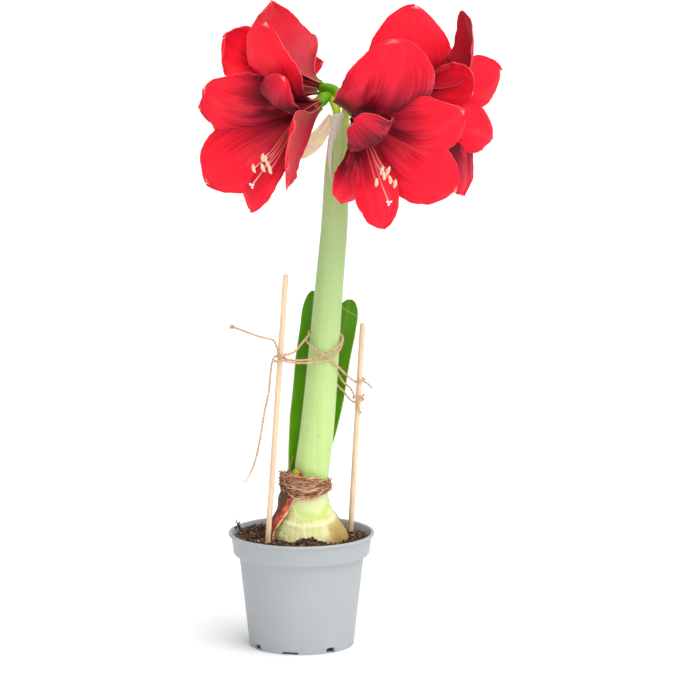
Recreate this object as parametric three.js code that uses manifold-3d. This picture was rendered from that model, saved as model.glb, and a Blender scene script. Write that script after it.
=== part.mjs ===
// A potted amaryllis in flower: grey nursery pot, peat, bulb, scape with four red blooms,
// two strap leaves and two sticks tied on with jute twine.
// Millimetres, +Z up, +X right and -Y towards the front. The origin is the centre of the pot's base.

import * as THREE from 'three';
import { mergeVertices } from 'three/addons/utils/BufferGeometryUtils.js';
import Module from 'manifold-3d';

const wasm = await Module();
wasm.setup();

// ---------------------------------------------------------------- driving dimensions

const GAP = 0.3; // clearance between pieces that touch

const POT = {
  height: 102,
  lipRadius: 65,
  collarTopRadius: 62.5,
  collarBottomRadius: 60.6,
  collarBottom: 84,
  shoulder: 80,
  shoulderRadius: 55.4,
  footRadius: 46.8,
  footHeight: 4.2,
  wall: 1.8,
  segments: 32,
};
const FOOT_NOTCH = { width: 5.5, height: 4, angle: -56, count: 4 };
const FOOT_SCALLOP = { width: 11, height: 1.5, angle: -102, count: 4 };
const DRAIN = { radius: 3.5, ring: 37.5, count: 8 };

const SOIL = { level: 96.5, edgeRadius: 58.6, moundHeight: 6.5, moundX: 7, moundY: -37, lump: 0.9 };

const BULB = {
  // height and radius, from the basal plate to the neck
  profile: [[38, 12], [41, 21], [51, 30], [66, 35], [80, 36.6], [93, 35.6], [103, 32.8], [115, 26.6],
    [120.5, 22.6], [123, 20.9], [133, 20], [148, 19.7]],
  // sideways place of the centre against height
  lean: [[38, 7.5], [93, 7.3], [117, 5.2], [130, 3.8], [148, 3.4]],
};

const SKIN = { thickness: 1, from: 20, to: 192, climb: 18, heights: [88, 93, 103, 115, 120.5, 123, 134] };
const COLLAR = { bottom: 132, top: 154.5, thickness: 1.2, frill: 1.8, dip: 1.8 };
const SHEET_GAP = 0.6; // from the bulb's surface to the sheets on it, whose facets cut its corners
const TORN_SCALE = {
  heights: [92, 103, 115, 120.5, 123, 130],
  from: 205, // angle of its middle at the bottom
  climb: 24, // how far it has turned at the top
  spread: 13,
  thickness: 0.9,
};

const SCAPE = {
  // centre line as x and z, with the radius there; the scape leans to the right in one plane
  line: [[5.2, 126.3, 12.8], [7, 150, 13.4], [8.2, 156, 14], [9.9, 163, 15.7], [13.9, 195.7, 14.9],
    [19.9, 264.2, 13.6], [25.6, 333.2, 12.3], [29.1, 373.3, 11.8], [31.8, 426.6, 11], [35.1, 465, 9.6],
    [35.6, 474, 8.2]],
  flattening: 0.94,
};
const STALK = {
  roots: [[-3.5, -3], [-3, 3.5], [3, -4], [4, 3]], // sideways place of each stalk's foot in the scape
  radii: [[0, 3.3], [0.62, 3.3], [0.84, 4.8], [1, 4.4]], // radius along it, swelling to the ovary
};

// The line of a leaf has its centre and the way that its back faces, in degrees.
const LEAVES = {
  leaf_left: {
    line: [[-7.8, 12.2, 148.3, 126], [-2.6, 16.4, 178, 114], [2.5, 18, 205, 102], [8, 18.4, 260, 95],
      [11, 18, 316, 92]],
    widths: [[0, 10], [0.2, 19], [0.5, 27], [0.75, 26], [0.93, 18], [1, 7]],
    hollow: 2.2,
  },
  leaf_right: {
    line: [[9.8, 15.6, 148.3, 80], [19.2, 20.2, 179, 80], [25, 20.6, 215, 82], [32, 20.6, 260, 86],
      [43, 18.8, 308, 88]],
    widths: [[0, 5.5], [0.2, 17], [0.5, 25], [0.85, 25], [0.95, 18], [1, 7]],
    hollow: 1.8,
  },
};
const LEAF_THICKNESS = 1.6;

// Each valve has its middle line, the direction across it at each point, and its widths.
const SPATHE = {
  spathe_broad: {
    line: [[24.9, -3.9, 470], [19.3, -8.7, 461], [12, -12, 453], [5, -14, 446], [1, -15, 439]],
    across: [[-0.3, -0.8, 0.5], [0.4, -0.8, -0.3], [0.75, -0.3, -0.6], [0.8, 0, -0.6], [0.8, 0, -0.6]],
    widths: [[0, 8], [0.35, 13], [0.7, 13], [0.9, 7], [1, 1.5]],
  },
  spathe_narrow: {
    line: [[33, -8.2, 473.5], [28.6, -9.1, 460], [25.6, -10.7, 442], [26, -11.6, 427], [29, -12.4, 410]],
    across: [[1, -0.1, 0.2], [1, -0.1, 0], [1, 0, 0], [1, 0, 0], [1, 0, 0]],
    widths: [[0, 13], [0.15, 9], [0.35, 4.4], [0.8, 2.2], [1, 1.2]],
  },
};
const SPATHE_THICKNESS = 0.7;

const STICKS = [
  { name: 'stick_left', foot: [-33.6, -28, 40], top: [-12.9, -28, 338] },
  { name: 'stick_right', foot: [40.5, 22, 40], top: [54.5, 22, 286] },
];
const STICK_RADIUS = 2.5;
const TWINE = {
  radius: 1,
  off: 2.5, // centre of the twine from the skin of the scape
  wound: 4.7, // centre of the twine from the middle of a stick
};
// The free ends of the twine: a long one hangs down and a short one stands off.
const TAILS = {
  twine_tail_long: [[-23.95, -31.1, 264.1], [-25.4, -31.7, 259.3], [-27, -32, 247], [-28.2, -32, 234.5],
    [-32.1, -32, 215.5], [-35.5, -32, 194.9], [-39.6, -32, 175.5], [-45, -31.5, 160.3], [-49.1, -31, 153.5]],
  twine_tail_short: [[-20.5, -32.6, 273.3], [-23.8, -33, 280.3], [-30.4, -33, 282.4], [-40.1, -33, 285.1],
    [-50.6, -33, 289.2], [-60.7, -33, 292.9]],
};

const TEPAL = {
  thickness: 0.9,
  tubeRadius: 4.6,
  tubeLength: 28,
  claw: 5.6, // width where the tepal leaves the tube
  widest: 0.64, // place of the full width along the blade
  narrow: 55, // a narrower tepal is drawn with fewer facets
};

// Each bloom stands on its base point and looks along its axis. A tepal's tip is given as seen by someone
// who looks into the bloom: to the right, up and out along the axis. Its belly is how far out the blade
// swings before it turns back to the tip, and sway bends it anticlockwise.
const BLOOMS = [
  {
    name: 'bloom_1',
    base: [15.3, -12, 486.4],
    axis: [-0.6, -0.72, -0.34],
    tepals: [
      { tip: [11, 102, 50], width: 60, belly: 66, sway: 10 },
      { tip: [-72, 42, 60], width: 84, belly: 80, sway: 12, widest: 0.56, shoulder: 0.75 },
      { tip: [-84, -49, 74], width: 70, belly: 82, sway: -6 },
      { tip: [-51, -79, 62], width: 34, belly: 84, sway: -2 },
      { tip: [37, -13, 95], width: 76, belly: 78, sway: -4, cup: 5, point: 0.5 },
      {
        tip: [28, 58, 62], width: 44, belly: 70, sway: 15, spread: 0.3, tube: 45, widest: 0.58, point: 0.5,
      },
    ],
    anthers: [[8, -11, 105], [14, -12, 100], [14, -4, 97], [17, -11, 96], [19, -15, 97], [16, -6, 96]],
    stigma: [7, -24, 111],
  },
  {
    name: 'bloom_2',
    base: [17.8, 8, 498],
    axis: [-0.837, 0.523, 0.157],
    tepals: [
      { tip: [13, 67, 55], width: 92, belly: 74, sway: 2, widest: 0.46, point: 0.85 },
      { tip: [71, 38, 62], width: 56, belly: 78, sway: -4 },
      { tip: [96, -34, 55], width: 56, belly: 78 },
      { tip: [35, -75, 60], width: 60, belly: 78 },
      { tip: [-18, -80, 50], width: 60, belly: 72 },
      { tip: [-48, 12, 30], width: 36, belly: 60, sway: 6 },
    ],
    anthers: [[-8, -12, 76], [-4, -8, 78], [2, -12, 75], [5, -8, 78], [8, -14, 74], [0, -5, 79]],
    stigma: [4, -16, 84],
  },
  {
    name: 'bloom_3',
    base: [46.7, -24, 480],
    axis: [0.28, -0.88, -0.38],
    tepals: [
      { tip: [3, 105, 60], width: 94, belly: 78, widest: 0.54, sway: -9, shoulder: 0.72, tube: 50, point: 0.5 },
      { tip: [77, 34, 62], width: 70, belly: 78, widest: 0.58, sway: -10 },
      { tip: [82, -47, 60], width: 66, belly: 72, widest: 0.66, sway: -4 },
      { tip: [17, -79, 66], width: 42, belly: 82, sway: -2, point: 0.5 },
      { tip: [-13, -70, 34], width: 38, belly: 68 },
      {
        tip: [-30, 41, 84], width: 50, belly: 76, spread: -0.3, sway: -12, tube: 56,
        cup: 8, widest: 0.62, point: 0.4,
      },
    ],
    anthers: [[-11, -7, 108], [-5, -1, 108], [-2, 4, 108], [1, -5, 108], [6, -9, 108], [-6, 2, 104]],
    stigma: [2, -26, 110],
  },
  {
    name: 'bloom_4',
    base: [82, 8, 487],
    axis: [0.8, -0.6, 0.02],
    tepals: [
      { tip: [0, 85, 25], width: 82, belly: 30, sway: 24, twist: -50, widest: 0.5, shoulder: 0.7 },
      { tip: [16, 80, 62], width: 42, belly: 90, sway: -8, twist: 66, spread: 0.3, tube: 50 },
      { tip: [77, 22, 60], width: 54, belly: 72 },
      { tip: [62, -38, 60], width: 52, belly: 72 },
      { tip: [31, -84, 50], width: 60, belly: 76, sway: 4 },
      { tip: [-14, 6, 90], width: 62, belly: 82, sway: -10 },
    ],
    anthers: [[-3, -14, 54], [1, -10, 58], [5, -16, 53], [9, -12, 60], [12, -17, 56], [5, -6, 60]],
    stigma: [3, -21, 64],
  },
];

// The two pairs of crowded blooms press flat against a plane between them.
const PRESSED = {
  bloom_1: { point: [16, -2, 492], away: [-0.18, 0.91, 0.37], side: -1 },
  bloom_2: { point: [16, -2, 492], away: [-0.18, 0.91, 0.37], side: 1 },
  bloom_3: { point: [72, -16, 484], away: [0.3, 0.9, 0.3], side: -1 },
  bloom_4: { point: [72, -16, 484], away: [0.3, 0.9, 0.3], side: 1 },
};
const PRESS = { clear: 1.2, softness: 4 };

// ---------------------------------------------------------------- materials

function finish(color, roughness) {
  return new THREE.MeshStandardMaterial({ color, roughness, metalness: 0 });
}
const GREY_PLASTIC = finish(0xb4bcc0, 0.5);
const PEAT = finish(0x6b4a35, 1);
const PALE_SCALE = finish(0xdfe3a0, 0.55);
const BROWN_SKIN = finish(0x7a4f38, 0.8);
const RED_SCALE = finish(0xd8452c, 0.6);
const STEM_GREEN = finish(0xb2d48c, 0.5);
const LEAF_GREEN = finish(0x4f9a12, 0.45);
const PETAL_RED = finish(0xe31c34, 0.55);
const STAMEN_PINK = finish(0xf0b8a0, 0.6);
const PAPERY_PINK = finish(0xecd2bc, 0.75);
const PALE_WOOD = finish(0xe8cba8, 0.75);
const JUTE = finish(0xc79a70, 0.9);

// ---------------------------------------------------------------- joining and cutting

function solidOf(geometry) {
  const bare = geometry.clone();
  bare.deleteAttribute('normal');
  bare.deleteAttribute('uv');
  const merged = mergeVertices(bare, 1e-4);
  return new wasm.Manifold(new wasm.Mesh({
    numProp: 3,
    vertProperties: merged.attributes.position.array,
    triVerts: new Uint32Array(merged.index.array),
  }));
}

function geometryOf(solid) {
  const mesh = solid.getMesh();
  const geometry = new THREE.BufferGeometry();
  geometry.setAttribute('position', new THREE.BufferAttribute(mesh.vertProperties, 3));
  geometry.setIndex(new THREE.BufferAttribute(mesh.triVerts, 1));
  geometry.computeVertexNormals();
  return geometry;
}

function join(geometries) {
  return geometries.map(solidOf).reduce((whole, part) => whole.add(part));
}

// The main body of a cut piece, without the scraps that the cut left loose.
function largest(solid) {
  return solid.decompose().reduce((kept, part) => (part.volume() > kept.volume() ? part : kept));
}

function piece(name, geometry, material) {
  const mesh = new THREE.Mesh(geometry, material);
  mesh.name = name;
  return mesh;
}

// ---------------------------------------------------------------- curves and swept shapes

// Reads a list of [x, value] pairs as a smooth line.
function along(pairs, x) {
  const last = pairs.length - 1;
  if (x <= pairs[0][0]) {
    return pairs[0][1];
  }
  if (x >= pairs[last][0]) {
    return pairs[last][1];
  }
  const i = pairs.findIndex((pair) => pair[0] > x) - 1;
  const share = (x - pairs[i][0]) / (pairs[i + 1][0] - pairs[i][0]);
  return THREE.MathUtils.lerp(pairs[i][1], pairs[i + 1][1], share);
}

function smooth(x, from, to) {
  return THREE.MathUtils.smoothstep(x, from, to);
}

function vector(list) {
  return new THREE.Vector3(...list);
}

// A round bar of changing radius along a curve, closed at both ends.
function bar(curve, radiusAt, sides, steps, squash = 1) {
  const geometry = new THREE.CylinderGeometry(1, 1, 1, sides, steps);
  const position = geometry.attributes.position;
  const frames = curve.computeFrenetFrames(steps, false);
  for (let i = 0; i < position.count; i += 1) {
    const share = 0.5 - position.getY(i);
    const step = Math.round(share * steps);
    const radius = radiusAt(share);
    const point = curve.getPointAt(share);
    point.addScaledVector(frames.normals[step], radius * squash * position.getX(i));
    point.addScaledVector(frames.binormals[step], radius * position.getZ(i));
    position.setXYZ(i, point.x, point.y, point.z);
  }
  return geometry;
}

// A cord or thin rod of one radius along a list of points.
function cord(points, radius, sides, steps) {
  const section = new THREE.Shape();
  for (let i = 0; i < sides; i += 1) {
    const angle = (2 * Math.PI * i) / sides;
    const move = i === 0 ? 'moveTo' : 'lineTo';
    section[move](radius * Math.cos(angle), radius * Math.sin(angle));
  }
  const path = new THREE.CatmullRomCurve3(points.map(vector), false, 'centripetal');
  return new THREE.ExtrudeGeometry(section, { steps, bevelEnabled: false, extrudePath: path });
}

// A closed blade of even thickness around the surface point(s, t), with s from -1 to 1 across and t from
// 0 to 1 along. Both faces are split into triangles alike, so that a waved blade never crosses itself.
function blade(point, thickness, across, steps) {
  const positions = [];
  const step = 1e-3;
  for (const side of [0.5, -0.5]) {
    for (let j = 0; j <= steps; j += 1) {
      for (let i = 0; i <= across; i += 1) {
        const s = (2 * i) / across - 1;
        const t = j / steps;
        const ds = point(Math.min(s + step, 1), t).sub(point(Math.max(s - step, -1), t));
        const dt = point(s, Math.min(t + step, 1)).sub(point(s, Math.max(t - step, 0)));
        const normal = ds.cross(dt).normalize();
        positions.push(...point(s, t).addScaledVector(normal, side * thickness).toArray());
      }
    }
  }
  const columns = across + 1;
  const under = columns * (steps + 1);
  const faces = [];
  for (let j = 0; j < steps; j += 1) {
    for (let i = 0; i < across; i += 1) {
      const a = j * columns + i;
      const [b, c, d] = [a + 1, a + columns + 1, a + columns];
      faces.push(a, b, c, a, c, d);
      faces.push(under + a, under + c, under + b, under + a, under + d, under + c);
    }
  }
  const rim = [];
  for (let i = 0; i < across; i += 1) rim.push(i);
  for (let j = 0; j < steps; j += 1) rim.push(j * columns + across);
  for (let i = across; i > 0; i -= 1) rim.push(steps * columns + i);
  for (let j = steps; j > 0; j -= 1) rim.push(j * columns);
  rim.forEach((a, k) => {
    const b = rim[(k + 1) % rim.length];
    faces.push(a, under + a, under + b, a, under + b, b);
  });
  const geometry = new THREE.BufferGeometry();
  geometry.setAttribute('position', new THREE.Float32BufferAttribute(positions, 3));
  geometry.setIndex(faces);
  geometry.computeVertexNormals();
  return geometry;
}

// ---------------------------------------------------------------- pot and soil

function potWallProfile() {
  const { wall } = POT;
  return [
    [0, 0], [27, 0], [30, POT.footHeight], [43.2, POT.footHeight], [44, 0], [POT.footRadius - 0.4, 0],
    [POT.shoulderRadius, POT.shoulder], [56.8, 82], [60, 82.6], [POT.collarBottomRadius, POT.collarBottom],
    [POT.collarTopRadius, 98.6], [POT.lipRadius, 99.8], [64.7, POT.height], [62.2, POT.height], [60.7, 98.4],
    [POT.collarBottomRadius - wall, POT.collarBottom + 0.6],
    [POT.shoulderRadius - wall - 0.2, POT.shoulder + 1], [POT.footRadius - 1, 8],
    [43.6, 6], [29.2, 6], [26.4, wall], [0, wall],
  ];
}

function turned(profile, segments) {
  const outline = profile.map(([r, z]) => new THREE.Vector2(r, z));
  return new THREE.LatheGeometry(outline, segments).rotateX(Math.PI / 2);
}

function radialBlock({ width, height, angle }, turn) {
  const block = new THREE.BoxGeometry(8, width, 2 * height);
  block.translate(POT.footRadius, 0, 0);
  return block.rotateZ(THREE.MathUtils.degToRad(angle) + turn);
}

function pot() {
  let solid = solidOf(turned(potWallProfile(), POT.segments));
  for (const notch of [FOOT_NOTCH, FOOT_SCALLOP]) {
    for (let i = 0; i < notch.count; i += 1) {
      solid = solid.subtract(solidOf(radialBlock(notch, (2 * Math.PI * i) / notch.count)));
    }
  }
  for (let i = 0; i < DRAIN.count; i += 1) {
    const hole = new THREE.CylinderGeometry(DRAIN.radius, DRAIN.radius, 8, 6).rotateX(Math.PI / 2);
    hole.translate(DRAIN.ring, 0, POT.footHeight + 1).rotateZ((2 * Math.PI * i) / DRAIN.count);
    solid = solid.subtract(solidOf(hole));
  }
  return piece('pot', geometryOf(solid), GREY_PLASTIC);
}

// Height of the peat: a shallow dish, heaped in front of the bulb, with crumbs and hollows.
function soilHeight(x, y) {
  const { level, moundHeight, moundX, moundY, lump } = SOIL;
  const dish = 1.6 * (1 - smooth(Math.hypot(x, y), 30, SOIL.edgeRadius));
  const mound = moundHeight * Math.exp(-(((x - moundX) / 12) ** 2) - (((y - moundY) / 9) ** 2));
  const crumbs = Math.sin(0.61 * x + 1.3) * Math.cos(0.53 * y) + 0.6 * Math.sin(0.97 * y - 0.83 * x);
  return level + dish + mound + lump * crumbs;
}

function soilBlock() {
  const rings = [54, 44, 32, 0];
  const profile = [
    [0, 2.3], [26, 2.3], [28.8, 6.5], [43.2, 6.5], [45.2, 8.6], [POT.shoulderRadius - 2.6, 81.6],
    [POT.collarBottomRadius - 2.2, 86], [SOIL.edgeRadius + 0.9, SOIL.level],
    ...rings.map((r) => [r, SOIL.level]),
  ];
  const geometry = turned(profile, 24);
  const position = geometry.attributes.position;
  for (let i = 0; i < position.count; i += 1) {
    if (position.getZ(i) > SOIL.level - 1) {
      position.setZ(i, soilHeight(position.getX(i), position.getY(i)));
    }
  }
  return geometry;
}

function soil() {
  let solid = solidOf(soilBlock());
  const recesses = [bulbBody(GAP), skinSheet(GAP + SKIN.thickness, GAP), tornSheet(GAP)];
  for (const stick of STICKS) {
    recesses.push(stickRod(stick, STICK_RADIUS + GAP, GAP));
  }
  for (const recess of recesses) {
    solid = solid.subtract(solidOf(recess));
  }
  return piece('soil', geometryOf(largest(solid)), PEAT);
}

// ---------------------------------------------------------------- bulb

function bulbRadius(z) {
  return along(BULB.profile, z);
}

// The point at an angle and height on the bulb, a given distance outside its surface.
function onBulb(angle, z, outside) {
  const turn = THREE.MathUtils.degToRad(angle);
  const radius = bulbRadius(z) + outside;
  return new THREE.Vector3(along(BULB.lean, z) + radius * Math.cos(turn), radius * Math.sin(turn), z);
}

function bulbBody(grow) {
  const bottom = BULB.profile[0][0];
  const top = BULB.profile[BULB.profile.length - 1][0];
  const profile = [[0, bottom - grow], ...BULB.profile.map(([z, r]) => [r + grow, z]), [0, top + grow]];
  const geometry = turned(profile, 24);
  const position = geometry.attributes.position;
  for (let i = 0; i < position.count; i += 1) {
    position.setX(i, position.getX(i) + along(BULB.lean, position.getZ(i)));
  }
  return geometry;
}

function bulbFlesh() {
  const socket = solidOf(scapeBar(GAP + 0.1));
  return piece('bulb_flesh', geometryOf(solidOf(bulbBody(0)).subtract(socket)), PALE_SCALE);
}

// A sheet that lies on the bulb through the given heights, between two angles that may change with height.
function sheetOnBulb(heights, angles, thickness, middle, across, spread) {
  const last = heights.length - 1;
  const rows = heights.map((z, i) => [i / last, i === 0 ? z - spread : z]);
  const point = (s, t) => {
    const z = along(rows, t);
    const [from, to] = angles(z, t);
    return onBulb((from + to) / 2 + (s * (to - from)) / 2, z, middle);
  };
  return blade(point, thickness, across, last);
}

// The brown skin lies on the back and the left of the bulb, with its two torn edges waved.
function skinSheet(thickness, spread) {
  const angles = (z, t) => {
    const tear = 3 * Math.sin(0.21 * z) + spread;
    return [SKIN.from - tear, SKIN.to + SKIN.climb * t + tear];
  };
  return sheetOnBulb(SKIN.heights, angles, thickness, SHEET_GAP + SKIN.thickness / 2, 12, spread);
}

// The ring of torn, papery scale tips round the neck.
function collarRing() {
  const { bottom, top, thickness, frill } = COLLAR;
  const around = 18;
  const rows = [[0.05, 0], [1.2, 5], [0.4, 11], [1.2, 16], [0.6, top - bottom]];
  const outer = rows.map(([bulge, rise]) => [bulge + thickness + SHEET_GAP, bottom + rise]);
  const inner = rows.slice().reverse().map(([bulge, rise]) => [bulge * 0.5 + SHEET_GAP, bottom + rise]);
  const ring = [...outer, ...inner];
  ring.push(ring[0]);
  const geometry = turned(ring, around);
  const position = geometry.attributes.position;
  for (let i = 0; i < position.count; i += 1) {
    const angle = Math.atan2(position.getY(i), position.getX(i));
    const outside = Math.hypot(position.getX(i), position.getY(i));
    const z = position.getZ(i);
    const lift = smooth(z, bottom + 12, top);
    const wave = frill * lift * (Math.sin(5 * angle) + 0.6 * Math.sin(11 * angle + 1));
    const place = onBulb(THREE.MathUtils.radToDeg(angle), z, outside - 0.4 * lift);
    position.setXYZ(i, place.x, place.y, z + wave - COLLAR.dip * lift * Math.cos(angle));
  }
  return geometry;
}

function bulbSkin() {
  return piece('bulb_skin', geometryOf(join([skinSheet(SKIN.thickness, 0), collarRing()])), BROWN_SKIN);
}

// The strip of a torn red scale, in front of the skin's left edge.
function tornSheet(grow) {
  const { heights, from, climb, spread, thickness } = TORN_SCALE;
  const angles = (z, t) => {
    const middle = from + climb * t;
    return [middle - spread / 2 - grow, middle + spread / 2 + grow];
  };
  return sheetOnBulb(heights, angles, thickness + 2 * grow, SHEET_GAP + thickness / 2, 2, grow);
}

function bulbTornScale() {
  return piece('bulb_torn_scale', tornSheet(0), RED_SCALE);
}

// ---------------------------------------------------------------- scape and leaves

// The scape's own bar, or with a value to grow by the socket that it stands in.
function scapeBar(grow) {
  const line = SCAPE.line.map(([x, z], i) => new THREE.Vector3(x, 0, i === 0 ? z - grow : z));
  const curve = new THREE.CatmullRomCurve3(line);
  return bar(curve, (share) => scapeRadius(curve.getPointAt(share).z) + grow, 16, 12, SCAPE.flattening);
}

function scapeRadius(z) {
  return along(SCAPE.line.map(([, height, radius]) => [height, radius]), z);
}

function scapeCentre(z) {
  return along(SCAPE.line.map(([x, height]) => [height, x]), z);
}

// A flower stalk leaves the top of the scape, bends over and swells to the ovary behind its bloom.
function stalk(bloom, start) {
  const base = vector(bloom.base);
  const axis = vector(bloom.axis).normalize();
  const end = base.clone().addScaledVector(axis, -GAP);
  const back = base.clone().addScaledVector(axis, -16);
  const root = new THREE.Vector3(35 + start[0], start[1], 466);
  const rise = new THREE.Vector3(35.5 + 1.3 * start[0], 1.3 * start[1], 480);
  const curve = new THREE.CatmullRomCurve3([root, rise, back, end], false, 'centripetal');
  return bar(curve, (share) => along(STALK.radii, share), 7, 6);
}

function scape() {
  const stalks = BLOOMS.map((bloom, i) => stalk(bloom, STALK.roots[i]));
  return piece('scape', geometryOf(join([scapeBar(0), ...stalks])), STEM_GREEN);
}

// A strap leaf rises behind the scape.
function strapLeaf({ line, widths, hollow }) {
  const curve = new THREE.CatmullRomCurve3(line.map(([x, y, z]) => new THREE.Vector3(x, y, z)));
  const turns = line.map((place, i) => [i / (line.length - 1), place[3]]);
  const point = (s, t) => {
    const turn = THREE.MathUtils.degToRad(along(turns, t));
    const half = along(widths, t) / 2;
    const bent = hollow * s * s * (half / 12);
    const place = curve.getPoint(t);
    place.x += half * s * Math.sin(turn) - bent * Math.cos(turn);
    place.y += -half * s * Math.cos(turn) - bent * Math.sin(turn);
    return place;
  };
  return blade(point, LEAF_THICKNESS, 3, 10);
}

function leaves() {
  return Object.entries(LEAVES).map(([name, leaf]) => piece(name, strapLeaf(leaf), LEAF_GREEN));
}

// ---------------------------------------------------------------- spathe

function spatheValve({ line, across, widths }) {
  const curve = new THREE.CatmullRomCurve3(line.map(vector));
  const sides = new THREE.CatmullRomCurve3(across.map(vector));
  const point = (s, t) => {
    const side = sides.getPoint(t).normalize();
    return curve.getPoint(t).addScaledVector(side, (s * along(widths, t)) / 2);
  };
  return blade(point, SPATHE_THICKNESS, 3, 8);
}

function spathe() {
  return Object.entries(SPATHE).map(([name, valve]) => piece(name, spatheValve(valve), PAPERY_PINK));
}

// ---------------------------------------------------------------- blooms

function bloomFrame(bloom) {
  const axis = vector(bloom.axis).normalize();
  const right = new THREE.Vector3(0, 0, 1).cross(axis).normalize();
  const up = axis.clone().cross(right);
  return { base: vector(bloom.base), axis, right, up };
}

function placed(frame, [right, up, out]) {
  const point = frame.base.clone().addScaledVector(frame.right, right);
  return point.addScaledVector(frame.up, up).addScaledVector(frame.axis, out);
}

function pressed(name, point) {
  const { point: through, away, side } = PRESSED[name];
  const normal = vector(away).normalize().multiplyScalar(side);
  const height = point.clone().sub(vector(through)).dot(normal);
  const share = (height - PRESS.clear) / PRESS.softness;
  const kept = PRESS.clear + PRESS.softness * (share > 30 ? share : Math.log1p(Math.exp(share)));
  return point.addScaledVector(normal, kept - height);
}

// Half of a tepal's width along it, as a share: a narrow claw, a broad blade and a rounded end.
function tepalOutline(t, widest, claw, point, shoulder) {
  if (t < widest) {
    return claw + (1 - claw) * Math.sin((Math.PI / 2) * (t / widest) ** shoulder) ** 2;
  }
  return Math.max((1 - ((t - widest) / (1 - widest)) ** 2.2) ** point, 0.03);
}

function tepalPoint(name, frame, tepal) {
  const [toRight, toUp, out] = tepal.tip;
  const reach = Math.hypot(toRight, toUp);
  const radial = frame.right.clone().multiplyScalar(toRight / reach).addScaledVector(frame.up, toUp / reach);
  const aside = frame.axis.clone().cross(radial);
  const at = (r, o, sideways) => frame.base.clone().addScaledVector(radial, r)
    .addScaledVector(frame.axis, o).addScaledVector(aside, sideways);
  const { spread = 0.55, sway = 0, twist = 0, cup = 6, ruffle = 1.5, waves = 2.5 } = tepal;
  const { widest = TEPAL.widest, tube = TEPAL.tubeLength, point = 0.62, shoulder = 1.25 } = tepal;
  const line = new THREE.CubicBezierCurve3(
    at(TEPAL.tubeRadius, 0.4, 0),
    at(TEPAL.tubeRadius + 3, tube, 0),
    at(reach * spread, tepal.belly, sway),
    at(reach, out, 0),
  );
  return (s, t) => {
    const centre = line.getPoint(t);
    const tangent = line.getTangent(t);
    const sideways = aside.clone().addScaledVector(tangent, -aside.dot(tangent)).normalize();
    const inward = sideways.clone().cross(tangent).normalize();
    const turn = THREE.MathUtils.degToRad(twist) * smooth(t, 0.1, 0.6);
    sideways.applyAxisAngle(tangent, turn);
    inward.applyAxisAngle(tangent, turn);
    const half = (tepal.width / 2) * tepalOutline(t, widest, TEPAL.claw / tepal.width, point, shoulder);
    const bowl = THREE.MathUtils.lerp(half * 0.45, (cup * half) / (tepal.width / 2), smooth(t, 0.1, 0.55));
    const wave = ruffle * smooth(t, 0.3, 0.7) * Math.sin(2 * Math.PI * waves * t + 2 * s);
    centre.addScaledVector(sideways, half * s * (1 - 0.08 * s * s));
    centre.addScaledVector(inward, bowl * s * s + wave * Math.abs(s) ** 3);
    return pressed(name, centre);
  };
}

// The floor of the tube, where the six tepals grow together above the ovary.
function tubeFloor(frame) {
  const curve = new THREE.LineCurve3(placed(frame, [0, 0, 0.2]), placed(frame, [0, 0, 1.4]));
  return bar(curve, () => TEPAL.tubeRadius + 0.3, 12, 1);
}

function bloom(data) {
  const frame = bloomFrame(data);
  const blades = data.tepals.map((tepal) => {
    const narrow = tepal.width < TEPAL.narrow;
    return blade(tepalPoint(data.name, frame, tepal), TEPAL.thickness, narrow ? 3 : 4, narrow ? 6 : 7);
  });
  return piece(data.name, geometryOf(join([tubeFloor(frame), ...blades])), PETAL_RED);
}

// Six filaments with their anthers, and the style with its three-lobed stigma, from one small hub.
function stamens(data) {
  const frame = bloomFrame(data);
  const hub = new THREE.LineCurve3(placed(frame, [0, 0, 1.8]), placed(frame, [0, 0, 5]));
  const parts = [bar(hub, () => 2.6, 8, 1)];
  const middle = [0, 1].map((i) => data.anthers.reduce((sum, end) => sum + end[i], 0) / data.anthers.length);
  const rod = ([right, up, out], radius, angle, distance) => {
    const [x, y] = [distance * Math.cos(angle), distance * Math.sin(angle)];
    return cord([
      placed(frame, [x, y, 3]).toArray(),
      placed(frame, [x + right * 0.12, y + up * 0.12 - 1.5, out * 0.4]).toArray(),
      placed(frame, [x * 0.4 + right * 0.6, y * 0.4 + up * 0.6 - 4, out * 0.78]).toArray(),
      placed(frame, [right, up, out]).toArray(),
    ], radius, 3, 4);
  };
  const grain = ([right, up, out], length, radius, lean) => {
    const from = placed(frame, [right - lean, up + length / 2, out]);
    const to = placed(frame, [right + lean, up - length / 2, out]);
    return bar(new THREE.LineCurve3(from, to), () => radius, 4, 1);
  };
  data.anthers.forEach((end, i) => {
    const angle = Math.atan2(end[1] - middle[1], end[0] - middle[0]);
    parts.push(rod(end, 0.6, angle, 1.9), grain(end, 7, 1.3, 1.2 * Math.sin(2.4 * i)));
  });
  parts.push(rod(data.stigma, 0.7, 0, 0));
  for (let i = 0; i < 3; i += 1) {
    const turn = (2 * Math.PI * i) / 3;
    const [right, up, out] = data.stigma;
    const lobe = placed(frame, [right + 1.6 * Math.cos(turn), up + 1.6 * Math.sin(turn), out]);
    parts.push(bar(new THREE.LineCurve3(placed(frame, data.stigma), lobe), () => 1, 3, 1));
  }
  return piece(data.name.replace('bloom', 'stamens'), geometryOf(join(parts)), STAMEN_PINK);
}

// ---------------------------------------------------------------- sticks and twine

function stickRod({ foot, top }, radius, sunk) {
  const lower = vector(foot);
  const upper = vector(top);
  lower.addScaledVector(upper.clone().sub(lower).normalize(), -sunk);
  return bar(new THREE.LineCurve3(lower, upper), () => radius, 12, 1);
}

function sticks() {
  return STICKS.map((stick) => piece(stick.name, stickRod(stick, STICK_RADIUS, 0), PALE_WOOD));
}

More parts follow.
